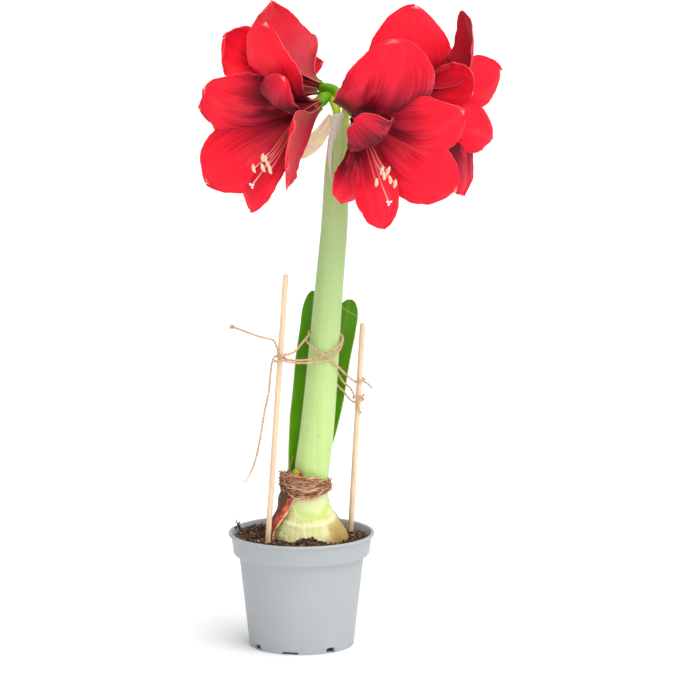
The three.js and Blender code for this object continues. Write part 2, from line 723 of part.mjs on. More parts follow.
// The point round the scape at an angle and height, a given distance outside its surface.
function roundScape(angle, z, outside) {
  const turn = THREE.MathUtils.degToRad(angle);
  const radius = scapeRadius(z);
  return [
    scapeCentre(z) + (radius + outside) * Math.cos(turn),
    (radius * SCAPE.flattening + outside) * Math.sin(turn),
    z,
  ];
}

// The point round a stick at an angle and height, where the twine is wound on it.
function roundStick(stick, angle, z) {
  const turn = THREE.MathUtils.degToRad(angle);
  const share = (z - stick.foot[2]) / (stick.top[2] - stick.foot[2]);
  return [
    THREE.MathUtils.lerp(stick.foot[0], stick.top[0], share) + TWINE.wound * Math.cos(turn),
    stick.foot[1] + TWINE.wound * Math.sin(turn),
    z,
  ];
}

function winding(stick, from, to, low, high) {
  const steps = Math.ceil(Math.abs(to - from) / 55);
  return Array.from({ length: steps + 1 }, (_, i) => (
    roundStick(stick, from + ((to - from) * i) / steps, low + ((high - low) * i) / steps)
  ));
}

// Each strand starts in its knot, runs round the scape and ends in a knot or beside another strand.
function twineStrands() {
  const [left, right] = STICKS;
  const high = [
    roundStick(left, 285, 266.5), [-7, -27.5, 268.5], [1, -16, 275], roundScape(205, 281, TWINE.off),
    roundScape(150, 282, TWINE.off), roundScape(90, 281, TWINE.off), roundScape(40, 279.5, TWINE.off),
    roundScape(2, 277, TWINE.off), roundScape(-32, 271.5, TWINE.off), roundScape(-65, 267, TWINE.off),
    roundScape(-100, 263, TWINE.off), [8, -18.5, 261], [-4, -24.5, 261], roundStick(left, 340, 262.9),
  ];
  const cross = [
    roundStick(left, 290, 262.3), [-8, -29, 260], [3, -22.5, 258.4], roundScape(-92, 258.6, TWINE.off + 0.5),
    roundScape(-62, 261, TWINE.off), roundScape(-30, 267.5, TWINE.off), roundScape(5, 276, TWINE.off),
    roundScape(60, 279, TWINE.off), roundScape(120, 279, TWINE.off), roundScape(180, 275.5, TWINE.off),
    roundScape(222, 271.5, TWINE.off), roundScape(255, 267.5, TWINE.off + 0.3),
    roundScape(290, 261, TWINE.off), roundScape(328, 252.5, TWINE.off),
    [40, 2, 243], [46.5, 12, 236], roundStick(right, 250, 234.3),
  ];
  const low = [
    roundScape(135, 279, TWINE.off), roundScape(112, 278.4, TWINE.off), roundScape(75, 262, TWINE.off),
    roundScape(40, 246, TWINE.off), [36.5, 11.5, 236], [44, 15.5, 228], roundStick(right, 230, 219.8),
  ];
  const lower = [
    roundScape(90, 268.5, TWINE.off), roundScape(62, 247, TWINE.off), roundScape(35, 234, TWINE.off),
    [37.5, 14, 226], [43.5, 16.5, 218], roundStick(right, 220, 215.7),
  ];
  return [high, cross, low, lower];
}

function twineTie() {
  const [left, right] = STICKS;
  const windings = [
    winding(left, 180, 730, 261, 267.5),
    winding(right, 170, 480, 233.5, 236.5),
    winding(right, 200, 750, 215.5, 221.5),
  ];
  const ends = [
    [roundStick(right, 300, 234.8), [58.5, 19.5, 232.5], [63, 18.5, 228]],
    [roundStick(right, 250, 216), [51.4, 17, 209], [53, 17.4, 205.5]],
    [roundStick(left, 205, 265.5), [-23.7, -30.8, 264.7]],
    [roundStick(left, 240, 266), roundStick(left, 240, 269), [-20.4, -32.5, 272.9]],
  ];
  const rods = [...twineStrands(), ...windings, ...ends].map((points) => (
    cord(points, TWINE.radius, 4, points.length + 2)
  ));
  return piece('twine_tie', geometryOf(join(rods)), JUTE);
}

// The two free ends of the twine leave the left knot.
function twineTails() {
  return Object.entries(TAILS).map(([name, points]) => (
    piece(name, cord(points, TWINE.radius, 6, 4 * points.length - 12), JUTE)
  ));
}

// ---------------------------------------------------------------- the whole plant

const amaryllis = new THREE.Group();
amaryllis.add(pot(), soil(), bulbFlesh(), bulbSkin(), bulbTornScale(), scape());
amaryllis.add(...leaves(), ...spathe(), ...BLOOMS.map(bloom), ...BLOOMS.map(stamens));
amaryllis.add(...sticks(), twineTie(), ...twineTails());

export default amaryllis;
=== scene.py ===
"""Finished pieces of a potted amaryllis in flower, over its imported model.

Metres, +Z up, +X right and -Y towards the front. Lists of sizes are in millimetres where MM turns them.
"""

import random
from math import atan2, ceil, cos, exp, hypot, log1p, pi, radians, sin

import bmesh
import bpy
from bpy.props import FloatProperty, FloatVectorProperty, IntProperty, PointerProperty
from mathutils import Euler, Matrix, Quaternion, Vector, noise


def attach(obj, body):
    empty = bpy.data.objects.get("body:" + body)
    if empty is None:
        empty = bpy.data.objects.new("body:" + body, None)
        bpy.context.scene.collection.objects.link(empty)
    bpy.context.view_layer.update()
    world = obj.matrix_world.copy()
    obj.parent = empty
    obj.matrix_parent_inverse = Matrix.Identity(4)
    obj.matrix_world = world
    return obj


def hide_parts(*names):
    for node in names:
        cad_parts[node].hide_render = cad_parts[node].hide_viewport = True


bl_info = {
    "name": "Potted amaryllis",
    "version": (1, 0, 0),
    "blender": (4, 5, 0),
    "location": "View3D > Sidebar > Amaryllis",
    "description": "Builds the finished pieces of a potted amaryllis over its packed model",
    "category": "Add Mesh",
}

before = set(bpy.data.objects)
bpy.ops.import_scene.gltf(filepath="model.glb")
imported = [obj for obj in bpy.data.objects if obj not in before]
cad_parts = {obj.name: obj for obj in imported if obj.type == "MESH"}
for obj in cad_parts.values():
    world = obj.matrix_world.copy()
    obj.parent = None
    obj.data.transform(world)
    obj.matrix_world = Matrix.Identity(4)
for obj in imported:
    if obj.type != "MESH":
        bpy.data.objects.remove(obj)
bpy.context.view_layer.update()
MM = 0.001

# What settings of one kind share.
COLOUR = {"size": 3, "subtype": "COLOR", "min": 0, "max": 1}
LENGTH = {"unit": "LENGTH", "subtype": "DISTANCE"}

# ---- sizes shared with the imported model

# The two free ends of the twine, in metres.
LONG_TAIL = [
    (-0.02395, -0.0311, 0.2641), (-0.0254, -0.0317, 0.2593), (-0.027, -0.032, 0.247),
    (-0.0282, -0.032, 0.2345), (-0.0321, -0.032, 0.2155), (-0.0355, -0.032, 0.1949),
    (-0.0396, -0.032, 0.1755), (-0.045, -0.0315, 0.1603), (-0.0491, -0.031, 0.1535),
]
SHORT_TAIL = [
    (-0.0205, -0.0326, 0.2733), (-0.0238, -0.033, 0.2803), (-0.0304, -0.033, 0.2824),
    (-0.0401, -0.033, 0.2851), (-0.0506, -0.033, 0.2892), (-0.0607, -0.033, 0.2929),
]

POT_PROFILE = [
    (0, 0), (27, 0), (30, 4.2), (43.2, 4.2), (44, 0), (46.4, 0), (55.4, 80), (56.8, 82), (60, 82.6),
    (60.6, 84), (62.5, 98.6), (65, 99.8), (64.7, 102), (62.2, 102), (60.7, 98.4), (58.8, 84.6),
    (53.4, 81), (45.8, 8), (43.6, 6), (29.2, 6), (26.4, 1.8), (0, 1.8),
]
FOOT_RADIUS = 46.8
FOOT_CUTS = [(9, 5, -56, 4), (14.5, 2.5, -102, 4)]  # width, height, angle of the first and count
DRAIN_RADIUS, DRAIN_RING, DRAIN_COUNT = 3.5, 37.5, 8

SOIL_LEVEL, SOIL_EDGE = 96.5, 58.6
SOIL_WALL = [
    (59.3, 96.3), (58.4, 86), (52.8, 81.6), (45.2, 8.6), (43.2, 6.5), (28.8, 6.5), (26, 2.3), (0, 2.3),
]
MOUND_X, MOUND_Y, MOUND_HEIGHT = 7, -37, 6.5
CHIP_REACH, CHIP_CLEAR = 57, 35.5  # how far out the chips lie, and how far off the middle of the bulb
# points, half thickness and tone from 0, dark, to 1, pale
PEAT_SCRAPS = [
    ([(-54, 19, 98), (-56.4, 19.5, 103), (-58.4, 19, 107), (-58.8, 18.5, 109.8)], 1.6, 0.5),
    ([(-57.5, 19, 104), (-55.8, 19, 105.4), (-54.8, 18.6, 108)], 1.1, 0.6),
    ([(-60, 16, 101), (-57, 17, 103), (-54, 18, 104)], 1.0, 0.4),
    ([(37.6, 19, 95.5), (39.6, 19, 99.5), (41.2, 19, 103.4)], 2.0, 0.97),
]

BULB_FOOT, BULB_TOP = 38, 147.5
BULB_PROFILE = [
    (38, 12), (41, 21), (51, 30), (66, 35), (80, 36.6), (93, 35.6), (103, 32.8), (115, 26.6),
    (120.5, 22.6), (123, 20.9), (133, 20), (148, 19.7),
]
BULB_LEAN = [(38, 7.5), (93, 7.3), (117, 5.2), (130, 3.8), (148, 3.4)]
OUTER_SCALE = [
    (38, 12), (41, 21), (51, 30), (66, 35), (80, 36.6), (93, 35.6), (103, 32.8), (112, 28.4), (118, 24.9),
    (123, 22.4), (128, 21.3), (134, 20.9),
]
NECK = [(38, 11), (100, 20), (118, 20.6), (123, 20.5), (133, 19.9), (148, 19.6)]
SKIN_FROM = 20
SKIN_EDGE = [(88, 196), (112, 200), (120, 205), (126, 212), (132, 222), (140, 238)]
TORN_EDGE = [(92, 204), (103, 206), (112, 209), (120, 214), (126, 221), (131, 230), (136, 238)]
TORN_SPREAD = 15

# angle from the front in degrees, positive to the right, and height
NECK_FOOT = [
    (-180, 131), (-44, 132), (-33, 131.5), (-26, 123), (-15, 119.8), (12, 116.8), (27, 117.1), (51, 119.9),
    (77, 125.5), (100, 129), (180, 131),
]
WAVE = [
    (-180, 112), (-60, 116), (-40, 114.9), (-22, 113.3), (0, 112.9), (24, 113.7), (50, 115.6), (90, 121),
    (180, 112),
]
RING_FOOT = [(-180, 141), (-65, 140.5), (-26, 137.1), (4, 136.1), (36, 139), (66, 140.5), (180, 141)]
RING_TOP = [
    (-180, 151), (-110, 154), (-62, 159), (-30, 157.2), (-10, 156), (20, 155.4), (68, 148.8), (110, 148),
    (180, 151),
]
# angle round the bulb in degrees and height
REMNANT_TOP = [
    (196, 155), (212, 159.5), (228, 161), (240, 159), (252, 157.4), (290, 157), (312, 154.5), (338, 150.5),
]
# lower and upper edge as shares of the ring, distance from the neck, and tone
RING_BANDS = [(0.0, 0.5, 1.4, 0.3), (0.22, 0.72, 2.2, 0.5), (0.46, 0.9, 1.5, 0.25), (0.66, 1.0, 2.4, 0.6)]
NECK_SLIVERS = [
    ([(-12, -9, 149), (-10.6, -10.2, 158), (-9.2, -10.6, 166), (-7.6, -10.2, 173)], 1.5, 0.5),
    ([(22, -8, 147), (24.4, -9, 150), (24.2, -9, 153.5)], 1.0, 0.1),
    ([(-15, -9, 147), (-18.5, -10, 150), (-20.6, -10, 149.6)], 0.9, 0.3),
    ([(4, -18.6, 150), (8, -18.4, 154.2), (13, -17.4, 155)], 0.8, 0.75),
]

# x, height and radius down the middle of the scape
SCAPE_LINE = [
    (5.2, 126.3, 12.8), (8.4, 150, 14.8), (9.2, 156, 15.3), (9.9, 163, 15.7), (13.9, 195.7, 14.9),
    (19.9, 264.2, 13.6), (25.6, 333.2, 12.3), (29.1, 373.3, 11.8), (31.8, 426.6, 11), (35.1, 465, 9.6),
    (35.6, 474, 8.2),
]
SCAPE_FLATTENING = 0.94
STALK_ROOTS = [(-3.5, -3), (-3, 3.5), (3, -4), (4, 3)]
STALK_THICKNESS = [(0, 3.7), (0.25, 3.3), (0.6, 3.4), (0.7, 4.5), (0.84, 5.6), (0.94, 5.2), (1, 4.4)]

LEAF_ROUND_FROM, LEAF_ROUND_OVER = 0.87, 0.132  # where a leaf's top starts to round, and over what share
LEAVES = {
    "leaf_left": {
        "line": [(-7.8, 12.2, 148.3, 126), (-2.6, 16.4, 178, 114), (2.5, 18, 205, 102), (8, 18.4, 260, 95),
                 (11, 18, 316, 92)],
        "widths": [(0, 10), (0.2, 19), (0.5, 27), (0.75, 26), (0.93, 18), (1, 7)],
        "hollow": 2.2,
    },
    "leaf_right": {
        "line": [(9.8, 15.6, 148.3, 80), (19.2, 20.2, 179, 80), (25, 20.6, 215, 82), (32, 20.6, 260, 86),
                 (43, 18.8, 308, 88)],
        "widths": [(0, 5.5), (0.2, 17), (0.5, 25), (0.85, 25), (0.95, 18), (1, 7)],
        "hollow": 1.8,
    },
}

SPATHE = {
    "spathe_broad": {
        "line": [(27, -6, 475.5), (19.5, -9.2, 462.5), (12, -12, 453), (5, -14, 446), (1, -15, 439)],
        "across": [(0.7, -0.4, -0.5), (0.72, -0.4, -0.55), (0.75, -0.3, -0.6), (0.8, 0, -0.6),
                   (0.8, 0, -0.6)],
        "widths": [(0, 6), (0.16, 10.5), (0.4, 14.5), (0.7, 14), (0.9, 8), (1, 1.5)],
        "pale": (255, 236, 172),
        "rosy": (255, 196, 176),
    },
    "spathe_narrow": {
        "line": [(33, -8.2, 477.5), (28.6, -9.1, 460), (25.6, -10.7, 442), (26, -11.6, 427),
                 (29, -12.4, 410)],
        "across": [(1, -0.1, 0.2), (1, -0.1, 0), (1, 0, 0), (1, 0, 0), (1, 0, 0)],
        "widths": [(0, 13), (0.15, 9), (0.35, 4.4), (0.8, 2.2), (1, 1.2)],
        "pale": (255, 254, 240),
        "rosy": (255, 246, 214),
    },
}

TUBE_RADIUS, TUBE_LENGTH, CLAW, WIDEST = 4.6, 28, 5.6, 0.64

# A tepal's tip is given as seen by someone who looks into the bloom: to the right, up and out along the
# axis. Its belly is how far out the blade swings before it turns back, and sway bends it anticlockwise.
# dark is how far the throat's colour reaches up it, which also paints shade on a tepal that lies in shade
# and darkens its outside as painted shade; pale is how white its tip is, and bright gives both of its faces
# the finish of the inside.
BLOOMS = [
    {
        "name": "bloom_1",
        "base": (15.3, -12, 486.4),
        "axis": (-0.6, -0.72, -0.34),
        "tepals": [
            dict(tip=(11, 102, 50), width=60, belly=66, sway=10),
            dict(tip=(-72, 42, 60), width=84, belly=80, sway=12, widest=0.56, shoulder=0.75,
                 dark=0.12),
            dict(tip=(-84, -49, 74), width=70, belly=82, sway=-6),
            dict(tip=(-51, -79, 62), width=34, belly=84, sway=-2),
            dict(tip=(37, -13, 95), width=76, belly=78, sway=-4, cup=5, point=0.5,
                 spread=0.42),
            dict(tip=(28, 58, 62), width=44, belly=70, sway=15, spread=0.3, tube=45,
                 dark=0.36, widest=0.58, point=0.5),
        ],
        "anthers": [(8, -11, 105), (14, -12, 100), (14, -4, 97), (17, -11, 96), (19, -15, 97), (16, -6, 96)],
        "stigma": (7, -24, 111),
    },
    {
        "name": "bloom_2",
        "base": (17.8, 8, 498),
        "axis": (-0.837, 0.523, 0.157),
        "tepals": [
            dict(tip=(13, 67, 55), width=92, belly=74, sway=2, widest=0.46, point=0.85),
            dict(tip=(71, 38, 62), width=56, belly=78, sway=-4, bright=1),
            dict(tip=(96, -34, 55), width=56, belly=78),
            dict(tip=(35, -75, 60), width=60, belly=78),
            dict(tip=(-18, -80, 50), width=60, belly=72),
            dict(tip=(-48, 12, 30), width=36, belly=60, sway=6),
        ],
        "anthers": [(-8, -12, 76), (-4, -8, 78), (2, -12, 75), (5, -8, 78), (8, -14, 74), (0, -5, 79)],
        "stigma": (4, -16, 84),
    },
    {
        "name": "bloom_3",
        "base": (46.7, -24, 480),
        "axis": (0.28, -0.88, -0.38),
        "tepals": [
            dict(tip=(3, 105, 60), width=94, belly=78, widest=0.54, sway=-9, shoulder=0.72,
                 tube=50, point=0.5, dark=0.16, pale=0.3),
            dict(tip=(77, 34, 62), width=70, belly=78, widest=0.58, sway=-10, dark=0.08),
            dict(tip=(82, -47, 60), width=66, belly=72, widest=0.66, sway=-4),
            dict(tip=(17, -79, 66), width=42, belly=82, sway=-2, point=0.5, torn=2.2,
                 pale=0),
            dict(tip=(-13, -70, 34), width=38, belly=68, dark=0.2, pale=0, point=0.42,
                 widest=0.7),
            dict(tip=(-30, 41, 84), width=50, belly=76, spread=-0.3, sway=-12, tube=56,
                 cup=8, widest=0.62, point=0.4, dark=0.42, pale=0, ruffle=3, crimp=3.2),
        ],
        "anthers": [(-11, -7, 108), (-5, -1, 108), (-2, 4, 108), (1, -5, 108), (6, -9, 108), (-6, 2, 104)],
        "stigma": (2, -26, 110),
    },
    {
        "name": "bloom_4",
        "base": (82, 8, 487),
        "axis": (0.8, -0.6, 0.02),
        "tepals": [
            dict(tip=(0, 85, 25), width=82, belly=30, sway=24, twist=-50, widest=0.5,
                 shoulder=0.7),
            dict(tip=(16, 80, 62), width=42, belly=90, sway=-8, twist=66, spread=0.3,
                 tube=50, dark=0.24, pale=0),
            dict(tip=(77, 22, 60), width=54, belly=72),
            dict(tip=(62, -38, 60), width=52, belly=72),
            dict(tip=(31, -84, 50), width=60, belly=76, sway=4, dark=0.36, torn=2.5,
                 pale=0),
            dict(tip=(-14, 6, 90), width=62, belly=82, sway=-10, bright=1),
        ],
        "anthers": [(-3, -14, 54), (1, -10, 58), (5, -16, 53), (9, -12, 60), (12, -17, 56), (5, -6, 60)],
        "stigma": (3, -21, 64),
    },
]

# Crowded blooms press flat against a plane between them: a point on it, the way across it and the side.
PRESSED = {
    "bloom_1": ((16, -2, 492), (-0.18, 0.91, 0.37), -1),
    "bloom_2": ((16, -2, 492), (-0.18, 0.91, 0.37), 1),
    "bloom_3": ((72, -16, 484), (0.3, 0.9, 0.3), -1),
    "bloom_4": ((72, -16, 484), (0.3, 0.9, 0.3), 1),
}
PRESS_CLEAR, PRESS_SOFTNESS = 1.2, 4

STICK_RADIUS = 2.5
STICKS = {
    "stick_left": ((-33.6, -28, 40), (-12.9, -28, 338)),
    "stick_right": ((40.5, 22, 40), (54.5, 22, 286)),
}
TWINE_OFF = 2.5  # centre of the twine from the skin of what it lies on
WINDING_RADIUS = 4.7  # centre of the twine from the middle of a stick
ROPE_TWIST, ROPE_STEP, PLY_SIDES = 6.0, 0.8, 6  # length of a full twist and of a step, and a ply's sides

CHIP_SEED, RING_SEED, TAIL_SEED, TIE_SEED = 41, 7, 23, 31

LENS, SENSOR = 236.4, 36
CAMERA_PLACE, CAMERA_TILT = (0.0432, -4.0, 0.985), 79.81
STUDIO_LIGHT = 0.36
# degrees off the vertical and round the plant, strength, and softness in degrees
SUNS = {"overhead": (12, 10, 2.2, 70), "key": (50, -50, 1.4, 50), "front": (70, -90, 0.6, 40)}


# ---- numbers and curves


def rgb(red, green, blue):
    """A colour from 0 to 255 a channel, as the linear numbers that finishes use."""
    def channel(value):
        value /= 255
        return value / 12.92 if value <= 0.04045 else ((value + 0.055) / 1.055) ** 2.4
    return channel(red), channel(green), channel(blue)


def toned(colour, factor):
    """The colour, darker or lighter by a factor."""
    return tuple(min(c * factor, 1) for c in colour)


def smooth(x, low, high):
    """A smooth step from 0 to 1 while x goes from low to high."""
    share = min(max((x - low) / (high - low), 0.0), 1.0)
    return share * share * (3 - 2 * share)


def between(a, b, share):
    return a + (b - a) * share


def along(pairs, x):
    """Reads a list of (x, value) pairs as a line."""
    if x <= pairs[0][0]:
        return pairs[0][1]
    for (x0, y0), (x1, y1) in zip(pairs, pairs[1:]):
        if x < x1:
            return between(y0, y1, (x - x0) / (x1 - x0))
    return pairs[-1][1]


def eased(pairs, x, reach):
    """The same line with its corners rounded over a reach."""
    return sum(along(pairs, x + reach * k / 3) for k in range(-3, 4)) / 7


def bumps(x, y=0.0, z=0.0):
    """Smooth noise from about -1 to 1, the same each run."""
    return noise.noise(Vector((x, y, z)))


class SmoothLine:
    """A centripetal curve through points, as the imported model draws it."""

    def __init__(self, points):
        self.points = [Vector(point) for point in points]
        fine = 16 * (len(points) - 1)
        self.shares = [i / fine for i in range(fine + 1)]
        self.reached = [0.0]
        last = self.at(0)
        for share in self.shares[1:]:
            here = self.at(share)
            self.reached.append(self.reached[-1] + (here - last).length)
            last = here
        self.length = self.reached[-1]

    def at(self, share):
        points = self.points
        place = share * (len(points) - 1)
        i = min(int(place), len(points) - 2)
        weight = place - i
        p1, p2 = points[i], points[i + 1]
        p0 = points[i - 1] if i > 0 else 2 * p1 - p2
        p3 = points[i + 2] if i + 2 < len(points) else 2 * p2 - p1
        d1 = max((p2 - p1).length ** 0.5, 1e-4)
        d0 = max((p1 - p0).length ** 0.5, 1e-4)
        d2 = max((p3 - p2).length ** 0.5, 1e-4)
        m1 = ((p1 - p0) / d0 - (p2 - p0) / (d0 + d1) + (p2 - p1) / d1) * d1
        m2 = ((p2 - p1) / d1 - (p3 - p1) / (d1 + d2) + (p3 - p2) / d2) * d1
        w2, w3 = weight * weight, weight ** 3
        return (p1 * (2 * w3 - 3 * w2 + 1) + m1 * (w3 - 2 * w2 + weight)
                + p2 * (3 * w2 - 2 * w3) + m2 * (w3 - w2))

    def even(self, count):
        """count + 1 points, equally far apart along the curve."""
        places, k = [], 0
        for i in range(count + 1):
            wanted = self.length * i / count
            while k < len(self.reached) - 2 and self.reached[k + 1] < wanted:
                k += 1
            span = self.reached[k + 1] - self.reached[k]
            share = between(self.shares[k], self.shares[k + 1], min((wanted - self.reached[k]) / span, 1))
            places.append(self.at(share))
        return places


def carried(points):
    """The points with their direction and two sides, carried along without needless twist."""
    rows, side = [], None
    for i, point in enumerate(points):
        ahead = (points[min(i + 1, len(points) - 1)] - points[max(i - 1, 0)]).normalized()
        if side is None:
            side = ahead.orthogonal()
        side = (side - ahead * side.dot(ahead)).normalized()
        rows.append((point, ahead, side, ahead.cross(side)))
    return rows


# ---- mesh helpers


def add_grid(bm, across, steps, place, wrap=False, capped=False, material=0, uv_size=(1, 1), masks=None):
    """Adds a sheet whose points place(s, t) sets, with s from -1 to 1 across and t from 0 to 1 along.

    A wrapped sheet closes on itself across. masks(s, t) gives the values of the sheet's own attributes.
    """
    made = bmesh.ops.create_grid(bm, x_segments=across, y_segments=steps, size=1)["verts"]
    uv = bm.loops.layers.uv.get("UVMap") or bm.loops.layers.uv.new("UVMap")
    where = {}
    for vert in made:
        i, j = round((vert.co.x + 1) * across / 2), round((vert.co.y + 1) * steps / 2)
        s, t = 2 * i / across - 1, j / steps
        where[vert] = (i / across * uv_size[0], t * uv_size[1])
        vert.co = place(s, t) * MM
        if masks:
            for name, value in masks(s, t).items():
                vert[bm.verts.layers.float[name]] = value
    faces = {face for vert in made for face in vert.link_faces}
    for face in faces:
        face.material_index = material
        face.smooth = True
        for loop in face.loops:
            loop[uv].uv = where[loop.vert]
    if wrap:
        seam = [vert for vert in made if where[vert][0] in (0, uv_size[0])]
        bmesh.ops.remove_doubles(bm, verts=seam, dist=1e-7)
        faces = {face for face in faces if face.is_valid}
    if capped:
        rim = list({edge for face in faces for edge in face.edges if edge.is_boundary})
        for face in bmesh.ops.holes_fill(bm, edges=rim, sides=0)["faces"]:
            face.material_index = material
    return [vert for vert in made if vert.is_valid]


def add_tube(bm, points, radius_at, sides, material=0, section=None):
    """Adds a closed bar along points. section(angle, share) may shape its cross-section as a factor."""
    rows = carried(points)
    last = len(rows) - 1

    def place(s, t):
        point, _, side, other = rows[round(t * last)]
        angle = pi * s
        radius = radius_at(t) * (section(angle, t) if section else 1)
        return point + (side * cos(angle) + other * sin(angle)) * radius

    return add_grid(bm, sides, last, place, wrap=True, capped=True, material=material)


def add_scraps(bm, scraps, steps, sides, taper, section=None):
    """Adds tapered strips along points, each with a thickness and a tone of its own."""
    tone = bm.verts.layers.float["tone"]
    for points, thick, value in scraps:
        line = SmoothLine(points).even(steps)
        for vert in add_tube(bm, line, lambda t: thick * taper(t), sides, section=section):
            vert[tone] = value


def add_rope(bm, points, radius):
    """Adds a two-ply twisted strand along points and returns the line down its middle."""
    line = SmoothLine(points)
    count = max(6, ceil(line.length / ROPE_STEP))
    rows = carried(line.even(count))
    for ply in range(2):
        def place(s, t):
            point, _, side, other = rows[round(t * count)]
            turn = pi * ply + 2 * pi * line.length * t / ROPE_TWIST
            angle = pi * s
            swell = 1 + 0.1 * bumps(point.x * 0.5, point.z * 0.5, ply)
            middle = point + (side * cos(turn) + other * sin(turn)) * radius * 0.48
            return middle + (side * cos(angle) + other * sin(angle)) * radius * 0.62 * swell
        add_grid(bm, PLY_SIDES, count, place, wrap=True, capped=True, uv_size=(1, line.length / 10))
    return rows


def add_sliver(bm, start, direction, length, radius):
    """Adds one thin pointed fibre that starts at a point."""
    turn = direction.to_track_quat("Z", "Y").to_matrix().to_4x4()
    place = Matrix.Translation((start + direction.normalized() * length / 2) * MM) @ turn
    made = bmesh.ops.create_cone(bm, cap_ends=True, segments=3, radius1=radius * MM,
                                 radius2=radius * 0.3 * MM, depth=length * MM, matrix=place)
    return made["verts"]


def add_turned(bm, profile, steps):
    """Spins a list of (radius, height) pairs round the Z axis."""
    chain = [bm.verts.new((radius * MM, 0, height * MM)) for radius, height in profile]
    edges = [bm.edges.new(pair) for pair in zip(chain, chain[1:])]
    bmesh.ops.spin(bm, geom=chain + edges, cent=(0, 0, 0), axis=(0, 0, 1), angle=2 * pi, steps=steps,
                   use_merge=True)
    bmesh.ops.remove_doubles(bm, verts=bm.verts, dist=1e-7)
    for face in bm.faces:
        face.smooth = True


def new_object(name, data):
    """An object in the scene that holds a mesh, light or camera."""
    made = bpy.data.objects.new(name, data)
    bpy.context.scene.collection.objects.link(made)
    return made


def new_mesh(name, bm):
    """A mesh object of a finished bmesh."""
    mesh = bpy.data.meshes.new(name)
    bm.to_mesh(mesh)
    bm.free()
    return new_object(name, mesh)


def new_piece(name, bm, materials, node):
    """Makes a mesh piece that rides on the plant and stands for the named node."""
    piece = new_mesh(name, bm)
    for material in materials:
        piece.data.materials.append(material)
    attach(piece, "root")
    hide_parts(node)
    return piece


def thicken(piece, thickness, backing=0):
    """Gives a sheet its thickness; backing is how many slots further its back's material lies."""
    wall = piece.modifiers.new("Thickness", "SOLIDIFY")
    wall.thickness = thickness
    wall.offset = 0
    wall.material_offset = backing
    wall.use_even_offset = False


def cut_out(piece, cutters):
    """Cuts closed shapes, each built into a bmesh, out of a piece's mesh."""
    tools = []
    for bm in cutters:
        tool = new_mesh("cutter", bm)
        cut = piece.modifiers.new("Cut", "BOOLEAN")
        cut.operation = "DIFFERENCE"
        cut.object = tool
        tools.append(tool)
    whole = piece.evaluated_get(bpy.context.evaluated_depsgraph_get())
    mesh = bpy.data.meshes.new_from_object(whole)
    piece.modifiers.clear()
    piece.data = mesh
    for tool in tools:
        bpy.data.meshes.remove(tool.data)


# ---- material helpers


class Nodes:
    """Short ways to add and join the nodes of one tree."""

    def __init__(self, tree):
        self.tree = tree

    def add(self, kind, inputs=None, **settings):
        node = self.tree.nodes.new(kind)
        for name, value in settings.items():
            setattr(node, name, value)
        for name, value in (inputs or {}).items():
            self.put(node.inputs[name], value)
        return node

    def put(self, socket, value):
        if isinstance(value, bpy.types.NodeSocket):
            self.tree.links.new(value, socket)
        elif isinstance(value, (tuple, list)) and len(value) == 3 and socket.type == "RGBA":
            socket.default_value = (*value, 1)
        else:
            socket.default_value = value

    def math(self, operation, *values, clamp=False):
        node = self.add("ShaderNodeMath", operation=operation, use_clamp=clamp)
        for socket, value in zip(node.inputs, values):
            self.put(socket, value)
        return node.outputs[0]

    def step(self, value, low, high, start=0.0, end=1.0):
        """A smooth change from start to end while value goes from low to high."""
        inputs = {"Value": value, "From Min": low, "From Max": high, "To Min": start, "To Max": end}
        return self.add("ShaderNodeMapRange", inputs, interpolation_type="SMOOTHSTEP").outputs[0]

    def mix(self, share, first, second):
        node = self.add("ShaderNodeMix", data_type="RGBA", blend_type="MIX", clamp_factor=True)
        self.put(node.inputs[0], share)
        self.put(node.inputs[6], first)
        self.put(node.inputs[7], second)
        return node.outputs[2]

    def tint(self, base, mask, strength, colour):
        """The base with a colour laid over it where a mask is high."""
        return self.mix(self.math("MULTIPLY", mask, strength), base, colour)

    def ramp(self, value, *stops):
        node = self.add("ShaderNodeValToRGB", {"Fac": value})
        ends = node.color_ramp.elements
        while len(ends) < len(stops):
            ends.new(0.5)
        for stop, (place, colour) in zip(ends, stops):
            stop.position = place
            stop.color = (*colour, 1)
        return node.outputs[0]

    def group(self, tree, **inputs):
        node = self.add("ShaderNodeGroup", node_tree=tree)
        for name, value in inputs.items():
            self.put(node.inputs[name], value)
        return node.outputs[0]

    def uv(self):
        return self.add("ShaderNodeUVMap", uv_map="UVMap").outputs[0]

    def place(self):
        return self.add("ShaderNodeTexCoord").outputs["Object"]

    def parts(self, vector):
        return self.add("ShaderNodeSeparateXYZ", {"Vector": vector}).outputs

    def scaled(self, vector, *scale):
        return self.add("ShaderNodeMapping", {"Vector": vector, "Scale": scale}).outputs[0]

    def noise(self, vector, scale, detail=2.0, rough=0.5):
        return self.add("ShaderNodeTexNoise", {"Vector": vector, "Scale": scale, "Detail": detail,
                                               "Roughness": rough}).outputs[0]

    def drawn(self, vector, across, lengthwise, detail=2.0, rough=0.5):
        """Noise with its own scale across and along a surface."""
        return self.noise(self.scaled(vector, across, lengthwise, 1), 1.0, detail, rough)

    def mask(self, name):
        return self.add("ShaderNodeAttribute", attribute_name=name).outputs["Fac"]

    def off_middle(self, x):
        """0 in the middle of a blade and 1 at its edges."""
        return self.math("ABSOLUTE", self.math("MULTIPLY_ADD", x, 2.0, -1.0))


